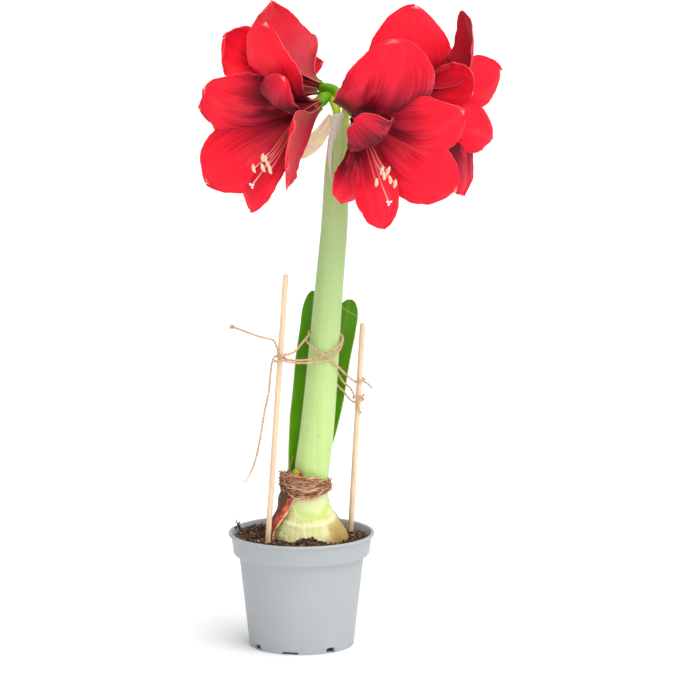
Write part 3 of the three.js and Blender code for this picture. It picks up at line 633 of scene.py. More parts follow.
def shared_group(name, inputs, build):
    """A shader group with named inputs and the output Mask, made once. Its vector input has no default."""
    found = bpy.data.node_groups.get(name)
    if found:
        return found
    tree = bpy.data.node_groups.new(name, "ShaderNodeTree")
    for label, default in inputs.items():
        kind = "NodeSocketVector" if default is None else "NodeSocketFloat"
        socket = tree.interface.new_socket(name=label, in_out="INPUT", socket_type=kind)
        if default is not None:
            socket.default_value = default
    tree.interface.new_socket(name="Mask", in_out="OUTPUT", socket_type="NodeSocketFloat")
    nodes = Nodes(tree)
    mask = build(nodes, nodes.add("NodeGroupInput").outputs)
    nodes.put(nodes.add("NodeGroupOutput").inputs[0], mask)
    return tree


def veins_group():
    """Fine lines that run along V, wander a little and fade in and out."""
    def build(nodes, given):
        across = nodes.parts(given["Vector"])[0]
        drift = nodes.drawn(given["Vector"], 7, 3)
        shift = nodes.math("MULTIPLY", nodes.math("SUBTRACT", drift, 0.5), given["Wander"])
        turns = nodes.math("MULTIPLY", given["Lines"], 6.2832)
        phase = nodes.math("MULTIPLY", nodes.math("ADD", across, shift), turns)
        wave = nodes.math("MULTIPLY_ADD", nodes.math("SINE", phase), 0.5, 0.5)
        line = nodes.math("POWER", wave, given["Sharpness"])
        fade = nodes.step(nodes.drawn(given["Vector"], 23, 2.5), 0.3, 0.65, 0.25, 1.0)
        return nodes.math("MULTIPLY", line, fade)
    return shared_group("Veins", {"Vector": None, "Lines": 20.0, "Wander": 0.02, "Sharpness": 2.0}, build)


def fibres_group():
    """Noise that is drawn out along one direction, as in wood, jute, dry skin and stems."""
    def build(nodes, given):
        x, y, z = nodes.parts(given["Vector"])
        pulled = nodes.add("ShaderNodeCombineXYZ", {
            "X": nodes.math("MULTIPLY", x, given["Across"]), "Y": nodes.math("MULTIPLY", y, given["Across"]),
            "Z": nodes.math("MULTIPLY", z, given["Along"]),
        }).outputs[0]
        coarse = nodes.noise(pulled, 1.0, 4.0, 0.6)
        spread = nodes.math("MULTIPLY", nodes.math("SUBTRACT", coarse, 0.5), given["Contrast"])
        return nodes.math("ADD", spread, 0.5, clamp=True)
    return shared_group("Fibres", {"Vector": None, "Across": 1000.0, "Along": 60.0, "Contrast": 1.0}, build)


def mottle_group():
    """Soft patches with a finer grain over them."""
    def build(nodes, given):
        often = nodes.math("DIVIDE", 1.0, given["Size"])
        patches = nodes.noise(given["Vector"], often, 3.0)
        grain = nodes.noise(given["Vector"], nodes.math("MULTIPLY", often, 6.0), 2.0)
        fine = nodes.math("MULTIPLY", nodes.math("SUBTRACT", grain, 0.5), given["Grain"])
        both = nodes.math("ADD", nodes.math("SUBTRACT", patches, 0.5), fine)
        return nodes.math("MULTIPLY_ADD", both, given["Contrast"], 0.5, clamp=True)
    return shared_group("Mottle", {"Vector": None, "Size": 0.01, "Grain": 0.4, "Contrast": 1.0}, build)


def finish_of(name, build, **fixed):
    """A material with one Principled shader. build(nodes) returns what feeds its sockets, and fixed holds
    the values that are the same all over."""
    found = bpy.data.materials.get(name)
    if found:
        return found
    material = bpy.data.materials.new(name)
    material.use_nodes = True
    nodes = Nodes(material.node_tree)
    shader = material.node_tree.nodes["Principled BSDF"]
    for label, value in fixed.items():
        nodes.put(shader.inputs[label.replace("_", " ")], value)
    fed = build(nodes)
    height = fed.pop("height", None)
    if height is not None:
        amount, depth = height
        bump = nodes.add("ShaderNodeBump", {"Height": amount, "Distance": depth, "Strength": 1.0})
        nodes.put(shader.inputs["Normal"], bump.outputs[0])
    for label, value in fed.items():
        nodes.put(shader.inputs[label], value)
    return material


# ---- settings


class AmaryllisPotSettings(bpy.types.PropertyGroup):
    """The pot and the peat."""

    plastic: FloatVectorProperty(name="Pot colour", description="Colour of the moulded plastic",
                                 default=rgb(169, 174, 177), **COLOUR)
    edge_round: FloatProperty(name="Edge rounding", description="How far the moulded edges are rounded",
                              default=0.0006, min=0.0001, max=0.002, **LENGTH)
    peat: FloatVectorProperty(name="Peat colour", description="Middle colour of the peat",
                              default=rgb(98, 76, 60), **COLOUR)
    chips: IntProperty(name="Chips", description="Number of loose bark chips on the peat", default=2800,
                       min=0, max=8000)


class AmaryllisPlantSettings(bpy.types.PropertyGroup):
    """The bulb, stem, leaves and blooms."""

    petal: FloatVectorProperty(name="Petal colour", description="Colour of the open blades",
                               default=rgb(251, 24, 49), **COLOUR)
    throat: FloatVectorProperty(name="Throat colour", description="Colour deep inside a bloom",
                                default=rgb(70, 3, 10), **COLOUR)
    petal_thickness: FloatProperty(name="Petal thickness", description="Thickness of a petal", default=0.0008,
                                   min=0.0002, max=0.002, **LENGTH)
    stem: FloatVectorProperty(name="Stem colour", description="Colour of the flower stem",
                              default=rgb(172, 201, 128), **COLOUR)
    leaf: FloatVectorProperty(name="Leaf colour", description="Colour of the strap leaves",
                              default=rgb(88, 150, 4), **COLOUR)


class AmaryllisTieSettings(bpy.types.PropertyGroup):
    """The sticks and the twine."""

    wood: FloatVectorProperty(name="Wood colour", description="Colour of the support sticks",
                              default=rgb(238, 210, 178), **COLOUR)
    jute: FloatVectorProperty(name="Twine colour", description="Colour of the jute twine",
                              default=rgb(232, 198, 164), **COLOUR)
    diameter: FloatProperty(name="Twine diameter", description="Diameter of the twine", default=0.002,
                            min=0.001, max=0.004, **LENGTH)
    fuzz: IntProperty(name="Fuzz", description="Loose fibres on each centimetre of twine", default=9, min=0,
                      max=30)


# ---- camera, floor and light


def add_sun(name, from_above, around, strength, softness):
    """Adds an even light that comes from some degrees off the vertical, at an angle round the plant."""
    lamp = bpy.data.lights.new(name, "SUN")
    lamp.energy = strength
    lamp.angle = radians(softness)
    slant, turn = radians(from_above), radians(around)
    source = Vector((sin(slant) * cos(turn), sin(slant) * sin(turn), cos(slant)))
    new_object(name, lamp).rotation_euler = source.to_track_quat("Z", "Y").to_euler()


def floor_finish():
    def build(nodes):
        tint = nodes.group(mottle_group(), Vector=nodes.place(), Size=0.4, Contrast=0.2)
        return {"Base Color": nodes.mix(tint, (0.93, 0.93, 0.93), (0.96, 0.96, 0.96))}
    return finish_of("pale_floor", build, Roughness=0.8, Specular_IOR_Level=0.1)


class AMARYLLIS_OT_stage(bpy.types.Operator):
    """Add the camera, the pale floor and the soft studio light"""

    bl_idname = "amaryllis.stage"
    bl_label = "Stage"

    def execute(self, context):
        scene = context.scene
        camera = bpy.data.cameras.new("camera")
        camera.lens = LENS
        camera.sensor_width = SENSOR
        camera.clip_end = 60
        holder = new_object("camera", camera)
        holder.location = CAMERA_PLACE
        holder.rotation_euler = (radians(CAMERA_TILT), 0, 0)
        scene.camera = holder
        scene.view_settings.view_transform = "Standard"

        bm = bmesh.new()
        bmesh.ops.create_grid(bm, x_segments=1, y_segments=1, size=20)
        floor = new_mesh("floor", bm)
        floor.data.materials.append(floor_finish())

        world = bpy.data.worlds.new("studio")
        world.use_nodes = True
        background = world.node_tree.nodes["Background"]
        background.inputs["Color"].default_value = (1, 1, 1, 1)
        background.inputs["Strength"].default_value = STUDIO_LIGHT
        scene.world = world
        for name, values in SUNS.items():
            add_sun(name, *values)
        return {"FINISHED"}


# ---- pot and peat


def pot_finish(colour):
    def build(nodes):
        place = nodes.place()
        height = nodes.parts(place)[2]
        cloud = nodes.group(mottle_group(), Vector=place, Size=0.03, Contrast=0.5)
        base = nodes.mix(cloud, toned(colour, 0.95), toned(colour, 1.04))
        specks = nodes.math("MULTIPLY", nodes.step(nodes.noise(place, 700, 2), 0.66, 0.72),
                            nodes.step(height, 0.085, 0.1, 0.08, 0.5))
        dusty = nodes.mix(specks, base, rgb(122, 96, 76))
        grain = nodes.noise(place, 2600, 2)
        drawn = nodes.group(fibres_group(), Vector=place, Across=260, Along=12, Contrast=0.8)
        relief = nodes.math("ADD", grain, nodes.math("MULTIPLY", drawn, 0.8))
        rough = nodes.step(cloud, 0.2, 0.8, 0.4, 0.5)
        return {"Base Color": dusty, "Roughness": rough, "height": (relief, 0.00006)}
    return finish_of("moulded_grey_plastic", build, Specular_IOR_Level=0.45)


def foot_cutters():
    """The notches and scallops of the foot and the drain holes, as closed blocks and pegs."""
    cutters = []
    for width, height, first, count in FOOT_CUTS:
        for i in range(count):
            bm = bmesh.new()
            turn = Matrix.Rotation(radians(first) + 2 * pi * i / count, 4, "Z")
            block = turn @ Matrix.Translation((FOOT_RADIUS * MM, 0, 0)) @ Matrix.Diagonal(
                (8 * MM, width * MM, 2 * height * MM, 1))
            bmesh.ops.create_cube(bm, size=1, matrix=block)
            upright = [edge for edge in bm.edges
                       if abs(edge.verts[0].co.z - edge.verts[1].co.z) < 1e-6 and edge.verts[0].co.z > 0
                       and abs((turn.inverted() @ (edge.verts[0].co - edge.verts[1].co)).x) > 0.004]
            bmesh.ops.bevel(bm, geom=upright, offset=height * 0.4 * MM, segments=4, profile=0.5,
                            affect="EDGES", material=-1)
            cutters.append(bm)
    for i in range(DRAIN_COUNT):
        bm = bmesh.new()
        turn = Matrix.Rotation(2 * pi * i / DRAIN_COUNT, 4, "Z")
        peg = turn @ Matrix.Translation((DRAIN_RING * MM, 0, 5 * MM))
        bmesh.ops.create_cone(bm, cap_ends=True, segments=24, radius1=DRAIN_RADIUS * MM,
                              radius2=DRAIN_RADIUS * MM, depth=8 * MM, matrix=peg)
        cutters.append(bm)
    return cutters


class AMARYLLIS_OT_pot(bpy.types.Operator):
    """Add the moulded pot with its collar, rolled lip, notched foot and drain holes"""

    bl_idname = "amaryllis.pot"
    bl_label = "Pot"

    def execute(self, context):
        settings = context.scene.amaryllis_pot
        bm = bmesh.new()
        add_turned(bm, POT_PROFILE, 160)
        bmesh.ops.recalc_face_normals(bm, faces=bm.faces)
        corners = [edge for edge in bm.edges if len(edge.link_faces) == 2 and edge.calc_face_angle() > 0.3]
        bmesh.ops.bevel(bm, geom=corners, offset=settings.edge_round, segments=3, profile=0.5, affect="EDGES",
                        material=-1, clamp_overlap=True)
        for face in bm.faces:
            face.smooth = True
        pot = new_piece("pot_shell", bm, [pot_finish(tuple(settings.plastic))], "pot")
        cut_out(pot, foot_cutters())
        bm = bmesh.new()
        bm.from_mesh(pot.data)
        for edge in bm.edges:
            edge.smooth = len(edge.link_faces) != 2 or edge.calc_face_angle() < 0.55
        bm.to_mesh(pot.data)
        bm.free()
        return {"FINISHED"}


def soil_height(x, y):
    """The top of the peat: a shallow dish with a mound in front of the bulb."""
    dish = 1.6 * (1 - smooth(hypot(x, y), 30, SOIL_EDGE))
    mound = MOUND_HEIGHT * exp(-(((x - MOUND_X) / 12) ** 2) - (((y - MOUND_Y) / 9) ** 2))
    crumbs = sin(0.61 * x + 1.3) * cos(0.53 * y) + 0.6 * sin(0.97 * y - 0.83 * x)
    return SOIL_LEVEL + dish + mound + 0.9 * crumbs


def crumbled(x, y):
    """The top of the peat with its lumps and grains."""
    lumps = abs(bumps(x * 0.28, y * 0.28, 3)) * 2.2 - 0.9
    grains = 0.5 * bumps(x * 0.9, y * 0.9, 7) + 0.28 * bumps(x * 1.9, y * 1.9, 11)
    near_wall = smooth(hypot(x, y), SOIL_EDGE - 1.5, SOIL_EDGE)
    heaped = 2.8 * exp(-(((x + 48) / 20) ** 2)) * smooth(y, -20, 6)
    return soil_height(x, y) + heaped + (lumps + grains) * (1 - near_wall)


def under_bulb(x, y):
    """Height of the hollow that the bulb sits in, or None outside it."""
    reach = hypot(x - 7.4, y)
    below = [(radius, height) for height, radius in BULB_PROFILE[:5]]
    if reach < below[0][0]:
        return 36.5
    return along(below, reach) - 1.5 if reach < 35.2 else None


def peat_finish(colour):
    def build(nodes):
        place = nodes.place()
        crumbs = nodes.noise(place, 800, 5, 0.7)
        clods = nodes.noise(place, 200, 3)
        shade = nodes.math("MULTIPLY_ADD", clods, 0.45, nodes.math("MULTIPLY", crumbs, 0.8))
        base = nodes.ramp(shade, (0.46, rgb(26, 17, 13)), (0.56, toned(colour, 0.5)),
                          (0.66, colour), (0.74, rgb(140, 108, 84)), (0.82, rgb(206, 176, 148)))
        return {"Base Color": base, "height": (crumbs, 0.0016)}
    return finish_of("crumbled_peat", build, Roughness=0.95, Specular_IOR_Level=0.15)


def chip_finish(colour):
    def build(nodes):
        tone = nodes.mask("tone")
        place = nodes.place()
        grain = nodes.noise(place, 1400, 3)
        base = nodes.ramp(tone, (0.0, rgb(30, 19, 14)), (0.32, rgb(66, 46, 34)), (0.55, colour),
                          (0.78, rgb(150, 116, 88)), (0.95, rgb(222, 186, 152)))
        shaded = nodes.mix(nodes.step(grain, 0.35, 0.7), nodes.mix(0.6, base, rgb(40, 25, 18)), base)
        return {"Base Color": shaded, "height": (grain, 0.0006)}
    return finish_of("bark_chips", build, Roughness=0.92, Specular_IOR_Level=0.2)


def add_chips(bm, count, draw):
    """Strews flattened chips over the peat, clear of the bulb."""
    tone = bm.verts.layers.float["tone"]
    placed = 0
    while placed < count:
        x, y = draw.uniform(-CHIP_REACH, CHIP_REACH), draw.uniform(-CHIP_REACH, CHIP_REACH)
        if hypot(x, y) > CHIP_REACH or hypot(x - 7.3, y) < CHIP_CLEAR:
            continue
        placed += 1
        length = draw.choice((0.8, 1.0, 1.3, 1.7, 2.3, 3.0)) * draw.uniform(0.5, 1.0)
        slant = Euler((draw.gauss(0, 0.45), draw.gauss(0, 0.45), draw.uniform(0, 6.3))).to_matrix().to_4x4()
        width, thickness = length * draw.uniform(0.25, 0.6), length * draw.uniform(0.12, 0.35)
        size = Matrix.Diagonal((length, width, thickness, 1 / MM))
        centre = Vector((x, y, crumbled(x, y) + draw.uniform(-0.2, 0.7)))
        place = Matrix.Translation(centre * MM) @ slant @ (size * MM)
        made = bmesh.ops.create_icosphere(bm, subdivisions=1, radius=1, matrix=place)["verts"]
        value = draw.betavariate(1.5, 1.9)
        for vert in made:
            vert.co += Vector((draw.gauss(0, 1), draw.gauss(0, 1), draw.gauss(0, 1))) * length * 0.09 * MM
            vert[tone] = value


def add_litter(bm, count, draw):
    """Strews a few fibres over the peat near the wall."""
    tone = bm.verts.layers.float["tone"]
    for _ in range(count):
        turn = draw.uniform(0, 2 * pi)
        reach = draw.uniform(44, CHIP_REACH)
        x, y = reach * cos(turn), reach * sin(turn)
        way = Vector((draw.gauss(0, 1), draw.gauss(0, 1), abs(draw.gauss(0, 0.25))))
        start = Vector((x, y, crumbled(x, y) + 0.2))
        for vert in add_sliver(bm, start, way, draw.uniform(2, 6), draw.uniform(0.12, 0.3)):
            vert[tone] = draw.uniform(0.4, 1)


class AMARYLLIS_OT_soil(bpy.types.Operator):
    """Add the peat with its crumbs, bark chips and fibres"""

    bl_idname = "amaryllis.soil"
    bl_label = "Peat"

    def execute(self, context):
        settings = context.scene.amaryllis_pot
        colour = tuple(settings.peat)
        bm = bmesh.new()
        rings = [(SOIL_EDGE * i / 84, SOIL_LEVEL) for i in range(85)]
        add_turned(bm, rings + SOIL_WALL, 240)
        for vert in bm.verts:
            x, y, z = vert.co / MM
            if z > SOIL_LEVEL - 0.1:
                hollow = under_bulb(x, y)
                vert.co.z = (crumbled(x, y) if hollow is None else hollow) * MM
        bmesh.ops.recalc_face_normals(bm, faces=bm.faces)
        new_piece("peat", bm, [peat_finish(colour)], "soil")

        bm = bmesh.new()
        bm.verts.layers.float.new("tone")
        draw = random.Random(CHIP_SEED)
        add_chips(bm, settings.chips, draw)
        add_litter(bm, settings.chips // 9, draw)
        add_scraps(bm, PEAT_SCRAPS, 10, 6, lambda t: 1.05 - t)
        for face in bm.faces:
            face.smooth = False
        new_piece("peat_chips", bm, [chip_finish(colour)], "soil")
        return {"FINISHED"}


# ---- bulb


def round_point(middle, radius, turn, height):
    """The point at a turn in radians round an upright line at x = middle."""
    return Vector((middle + radius * cos(turn), radius * sin(turn), height))


def on_bulb(angle, height, outside):
    """The point at an angle in degrees and a height on the bulb, outside its surface."""
    radius = eased(BULB_PROFILE, height, 3) + outside
    return round_point(eased(BULB_LEAN, height, 5), radius, radians(angle), height)


def front_angle(angle):
    """An angle in degrees measured from the front, from -180 to 180, with the right side positive."""
    return (angle + 90 + 180) % 360 - 180


def scale_edge(angle):
    """Height at which the outer scales end and the smooth neck begins."""
    side = front_angle(angle)
    scallop = 0.7 * sin(radians(7 * side + 40)) + 0.6 * bumps(side * 0.09, 2)
    return eased(NECK_FOOT, side, 4) + scallop


def wave_edge(angle):
    """Height of the soft step where a second scale ends below the first."""
    side = front_angle(angle)
    return eased(WAVE, side, 6) + 0.7 * bumps(side * 0.05, 12)


def bulb_radius(angle, height):
    """The bulb's radius with its scale edges and ribs, and how far the scales are peeled there."""
    edge, wave = scale_edge(angle), wave_edge(angle)
    side = front_angle(angle)
    peeled = smooth(height, edge - 0.4, edge + 0.9)
    outer = eased(OUTER_SCALE, height, 3) - 1.5 * smooth(abs(side), 84, 104) * smooth(height, 100, 112)
    lip = 0.2 * exp(-(((height - edge + 1.2) / 1.3) ** 2))
    second = 0.7 * smooth(wave - height, -0.6, 0.6) + 0.5 * exp(-(((height - wave + 1.2) / 1.6) ** 2))
    shoulder = 0.5 * smooth(side, 36, 46) * smooth(height, 92, 100)
    turn = radians(angle)
    x, y = cos(turn), sin(turn)
    veins = 0.14 * sin(radians(34 * side) + 1.2 * bumps(height * 0.06, side * 0.05))
    dents = 0.8 * bumps(x * 2.6, y * 2.6, height * 0.07) + 0.3 * bumps(x * 7, y * 7, height * 0.12)
    ribs = 0.2 * bumps(side * 0.11, 5, height * 0.01) + 0.05 * bumps(side * 0.5, 15)
    neck = eased(NECK, height, 2) + ribs
    scales = outer + lip + (second - 0.5) * (1 - smooth(abs(side), 60, 95)) + shoulder + veins + dents
    return between(scales, neck, peeled), peeled


def bulb_finish():
    def build(nodes):
        place, uv = nodes.place(), nodes.uv()
        height = nodes.parts(place)[2]
        streaked, above, lip = nodes.mask("streaked"), nodes.mask("above"), nodes.mask("lip")
        patches = nodes.group(mottle_group(), Vector=place, Size=0.012, Contrast=1.8)
        drawn = nodes.drawn(uv, 210, 7, 3, 0.6)
        scale = nodes.mix(patches, rgb(230, 234, 180), rgb(208, 204, 126))
        scale = nodes.tint(scale, streaked, 0.85, rgb(174, 148, 74))
        scale = nodes.mix(nodes.step(drawn, 0.5, 0.68, 0.0, 0.38), scale, rgb(184, 180, 86))
        scale = nodes.tint(scale, lip, 0.4, rgb(232, 240, 196))
        neck = nodes.ramp(above, (0.0, rgb(190, 214, 108)), (0.1, rgb(208, 226, 136)),
                          (0.4, rgb(222, 234, 166)), (0.75, rgb(226, 228, 164)),
                          (1.0, rgb(222, 198, 150)))
        neck = nodes.mix(nodes.step(drawn, 0.5, 0.68, 0.0, 0.2), neck, rgb(196, 220, 122))
        base = nodes.mix(nodes.mask("peeled"), scale, neck)
        rust = nodes.drawn(uv, 330, 9, 3, 0.65)
        wide = nodes.drawn(uv, 70, 12, 2)
        rust = nodes.math("MULTIPLY", nodes.step(rust, 0.46, 0.6), nodes.step(wide, 0.38, 0.55))
        base = nodes.tint(base, rust, streaked, rgb(184, 112, 56))
        spots = nodes.math("MULTIPLY", nodes.step(nodes.noise(place, 700, 3), 0.57, 0.66),
                           nodes.step(nodes.mask("left"), 0.0, 1.0, 0.12, 0.85))
        base = nodes.mix(spots, base, rgb(134, 96, 46))
        olive = nodes.math("MULTIPLY", nodes.step(patches, 0.5, 0.9), nodes.mask("left"))
        base = nodes.tint(base, olive, 0.6, rgb(160, 142, 62))
        low = nodes.math("MULTIPLY", nodes.step(height, 0.106, 0.096), nodes.step(patches, 0.3, 0.75))
        base = nodes.tint(base, low, 0.65, rgb(146, 100, 58))
        relief = nodes.math("ADD", drawn, nodes.noise(place, 500, 2))
        return {"Base Color": base, "Roughness": nodes.step(drawn, 0.3, 0.7, 0.4, 0.52),
                "height": (relief, 0.0003)}
    return finish_of("pale_bulb_scale", build, Subsurface_Weight=0.12, Subsurface_Scale=0.003,
                     Specular_IOR_Level=0.45)


def skin_finish():
    def build(nodes):
        place = nodes.place()
        threads = nodes.group(fibres_group(), Vector=place, Across=520, Along=60, Contrast=2.2)
        patches = nodes.group(mottle_group(), Vector=place, Size=0.016, Contrast=2.0)
        base = nodes.mix(patches, rgb(48, 28, 24), rgb(112, 68, 48))
        base = nodes.tint(base, nodes.step(threads, 0.55, 0.9), 0.6, rgb(170, 116, 80))
        return {"Base Color": base, "Roughness": nodes.step(patches, 0.2, 0.8, 0.38, 0.62),
                "height": (threads, 0.0005)}
    return finish_of("brown_papery_skin", build, Specular_IOR_Level=0.4)


def fringe_finish():
    def build(nodes):
        place = nodes.place()
        tone, uv = nodes.mask("tone"), nodes.uv()
        threads = nodes.noise(nodes.scaled(place, 260, 260, 1500), 1.0, 4, 0.6)
        base = nodes.ramp(tone, (0.0, rgb(88, 54, 40)), (0.3, rgb(146, 92, 68)),
                          (0.65, rgb(206, 150, 114)), (1.0, rgb(244, 206, 166)))
        base = nodes.mix(nodes.step(threads, 0.36, 0.6), nodes.mix(0.5, base, rgb(66, 40, 32)), base)
        rim = nodes.step(nodes.parts(uv)[1], 0.84, 0.98)
        base = nodes.tint(base, rim, 0.6, rgb(240, 204, 158))
        return {"Base Color": base, "height": (threads, 0.0007)}
    return finish_of("dry_scale_fringe", build, Roughness=0.7, Specular_IOR_Level=0.3)


def torn_finish():
    def build(nodes):
        place, uv = nodes.place(), nodes.uv()
        x, y, _ = nodes.parts(uv)
        threads = nodes.group(fibres_group(), Vector=place, Across=700, Along=70, Contrast=2.6)
        base = nodes.ramp(y, (0.0, rgb(150, 56, 44)), (0.3, rgb(206, 60, 44)),
                          (0.6, rgb(244, 62, 44)), (0.85, rgb(252, 84, 56)), (1.0, rgb(236, 120, 86)))
        base = nodes.mix(nodes.step(threads, 0.55, 0.85, 0.0, 0.6), base, rgb(252, 150, 100))
        base = nodes.mix(nodes.step(threads, 0.42, 0.25, 0.0, 0.6), base, rgb(164, 30, 30))
        worn = nodes.group(mottle_group(), Vector=place, Size=0.007, Contrast=2.6)
        base = nodes.mix(nodes.step(worn, 0.55, 0.85, 0.0, 0.75), base, rgb(120, 60, 44))
        base = nodes.mix(nodes.step(worn, 0.4, 0.12, 0.0, 0.7), base, rgb(236, 170, 104))
        base = nodes.mix(nodes.step(x, 0.3, 0.0, 0.0, 0.8), base, rgb(96, 38, 32))
        base = nodes.mix(nodes.step(x, 0.72, 0.96, 0.0, 0.9), base, rgb(250, 214, 178))
        return {"Base Color": base, "height": (threads, 0.0005)}
    return finish_of("torn_red_scale", build, Roughness=0.5, Specular_IOR_Level=0.4)


def remnant_finish():
    def build(nodes):
        uv = nodes.uv()
        veins = nodes.group(veins_group(), Vector=uv, Lines=12.0, Wander=0.05, Sharpness=2.0)
        base = nodes.ramp(nodes.parts(uv)[0], (0.0, rgb(150, 96, 60)), (0.12, rgb(128, 176, 40)),
                          (0.2, rgb(206, 212, 70)), (0.27, rgb(232, 176, 70)),
                          (0.32, rgb(200, 62, 44)), (0.38, rgb(132, 50, 36)),
                          (0.43, rgb(160, 190, 66)), (1.0, rgb(196, 214, 110)))
        base = nodes.tint(base, veins, 0.3, rgb(150, 150, 40))
        return {"Base Color": base, "height": (veins, 0.0002)}
    return finish_of("green_scale_remnant", build, Roughness=0.45)


def ring_height(angle, share):
    """Height in the torn ring at an angle, as a share of the way from its lower to its upper edge."""
    side = front_angle(angle)
    return between(eased(RING_FOOT, side, 5), eased(RING_TOP, side, 5), share)


def add_bands(bm):
    """Lays torn, wrinkled bands of dry scale round the neck, one over the other."""
    tone = bm.verts.layers.float["tone"]
    for k, (low, high, outside, value) in enumerate(RING_BANDS):
        def place(s, t):
            angle = 180 * s
            turn = radians(angle)
            x, y = cos(turn), sin(turn)
            edge = abs(2 * t - 1) ** 2 * (1 if t > 0.5 else -1)
            ragged = 1.5 * bumps(x * 4, y * 4, 4 + k) + 1.3 * bumps(x * 13, y * 13, 14 + k)
            height = ring_height(angle, between(low, high, t)) + ragged * edge
            wrinkle = 0.8 * bumps(x * 5, y * 5, height * 0.6 + 30 * k)
            wrinkle += 0.45 * sin(height * 2.3 + 4 * bumps(x * 2.5, y * 2.5, k))
            flare = 1.8 * abs(2 * t - 1) ** 3 * max(bumps(x * 3.5, y * 3.5, 50 + k), -0.15)
            return on_bulb(angle, height, outside + wrinkle + flare)
        for vert in add_grid(bm, 200, 20, place, wrap=True):
            cloud = bumps(vert.co.x * 260, vert.co.y * 260, vert.co.z * 700)
            vert[tone] = min(max(value + 0.45 * cloud, 0), 1)


def add_strips(bm, draw):
    """Winds curled strips of dry scale round the neck."""
    tone = bm.verts.layers.float["tone"]
    for _ in range(230):
        start, sweep = draw.uniform(0, 360), draw.uniform(10, 58)
        share, rise = draw.uniform(0.02, 0.98), draw.gauss(0, 0.16)
        width, outside = draw.uniform(0.25, 1.1), draw.uniform(1.8, 3.3)
        curl, value = draw.choice((0, 0.6, 1.4, 2.6)), draw.betavariate(2.2, 1.5)

        def place(s, t):
            taper = sin(pi * min(t + 0.12, 1)) ** 0.6
            angle = start + sweep * t
            z = ring_height(angle, min(max(share + rise * t, 0), 1.03)) + 0.8 * sin(6 * t + start)
            off = outside + curl * smooth(t, 0.55, 1) ** 2 + 0.5 * bumps(t * 4, start)
            off += 0.3 * s * sin(7 * t)
            return on_bulb(angle, z + width * s * taper + 0.5 * curl * smooth(t, 0.7, 1), off)
        for vert in add_grid(bm, 2, 12, place):
            vert[tone] = value


def add_flakes(bm, draw):
    """Stands pointed flakes along the edges of the ring."""
    tone = bm.verts.layers.float["tone"]
    for _ in range(70):
        angle, share = draw.uniform(0, 360), draw.choice((0.08, 0.5, 0.9, 0.96, 1.0))
        length, width = draw.uniform(1.2, 3.4), draw.uniform(0.8, 2.4)
        out, lean, value = draw.uniform(0.1, 1.0), draw.gauss(0, 3), draw.betavariate(2.4, 1.6)

        def place(s, t):
            across = angle + (s * width * (1 - t) ** 0.7) * 2.7 + lean * t
            rise = length * t * (1 - out * 0.4) * (-1 if share < 0.2 else 1)
            return on_bulb(across, ring_height(angle, share) + rise, 2.2 + out * length * t * t + 0.3 * s)
        for vert in add_grid(bm, 2, 5, place):
            vert[tone] = value


def lifted(angle, height):
    """How far the dry skin stands off the neck on the left."""
    bulge = 3.4 * exp(-(((angle - 186) / 30) ** 2))
    return bulge * smooth(height, 98, 112) * (1 - smooth(height, 132, 142))


def add_scales(bm):
    """Adds the peeled bulb with its scale edges and smooth neck, and the masks of its marks."""
    for name in ("peeled", "above", "streaked", "left", "lip"):
        bm.verts.layers.float.new(name)

    def place(s, t):
        height = between(BULB_FOOT, BULB_TOP, t)
        radius, _ = bulb_radius(180 * s, height)
        return round_point(eased(BULB_LEAN, height, 5), radius, pi * s, height)

    def masks(s, t):
        height = between(BULB_FOOT, BULB_TOP, t)
        side = front_angle(180 * s)
        edge, wave = scale_edge(180 * s), wave_edge(180 * s)
        right = smooth(side, 32, 46) * (1 - smooth(side, 95, 120))
        left = smooth(side, -80, -66) * (1 - smooth(side, -48, -30))
        return {
            "peeled": bulb_radius(180 * s, height)[1],
            "above": min(max((height - edge) / 20, 0), 1),
            "streaked": right * (1 - smooth(height, 108, 121)),
            "left": left * (1 - smooth(height, 118, 128)),
            "lip": smooth(height, wave - 3, wave - 0.8) * (1 - smooth(height, wave + 0.4, wave + 2.6)),
        }
    add_grid(bm, 300, 200, place, wrap=True, capped=True, masks=masks)


def skin_place(s, t):
    """The brown skin, from the back round to its ragged edge on the left."""
    height = between(88, 140, t)
    ragged = 2.2 * bumps(height * 0.16, 20 + s) + 1.2 * bumps(height * 0.6, 40 + s)
    low, high = SKIN_FROM - 2 * ragged, eased(SKIN_EDGE, height, 3) + ragged
    angle = between(low, high, (s + 1) / 2)
    turn = radians(angle)
    folds = 0.5 * bumps(cos(turn) * 7, sin(turn) * 7, height * 0.05)
    folds += 0.25 * bumps(cos(turn) * 19, sin(turn) * 19, height * 0.12)
    return on_bulb(angle, height, 1.25 + folds + lifted(angle, height))


def torn_place(s, t):
    """The red strip of a torn scale along the edge of the skin."""
    height = between(92, 135.5, t) + 1.2 * bumps(s * 2, 8) * t
    ragged = 5 * bumps(height * 0.13, 3 + 5 * s) + 2.4 * bumps(height * 0.7, 9 + 5 * s)
    wide = TORN_SPREAD / 2 * between(0.6, 1.4, smooth(t, 0.25, 0.7))
    angle = eased(TORN_EDGE, height, 2) + s * (wide + ragged)
    curl = 0.7 * abs(s) ** 3 + 0.5 * bumps(height * 0.3, s * 2.5)
    return on_bulb(angle, height, 2.1 + curl + lifted(angle, height))


def remnant_place(s, t):
    """The green rest of a scale between the ring and the stem."""
    angle = between(196, 338, (s + 1) / 2)
    torn_top = eased(REMNANT_TOP, angle, 3) + 0.9 * bumps(angle * 0.16, 5) + 0.5 * bumps(angle * 0.6, 6)
    reach = between(18.8, 17.4, t) + 0.5 * bumps(angle * 0.09, 3) + 0.5 * t * bumps(angle * 0.3, 2)
    return round_point(between(3.6, 7.2, t), reach, radians(angle), between(143, torn_top, t))


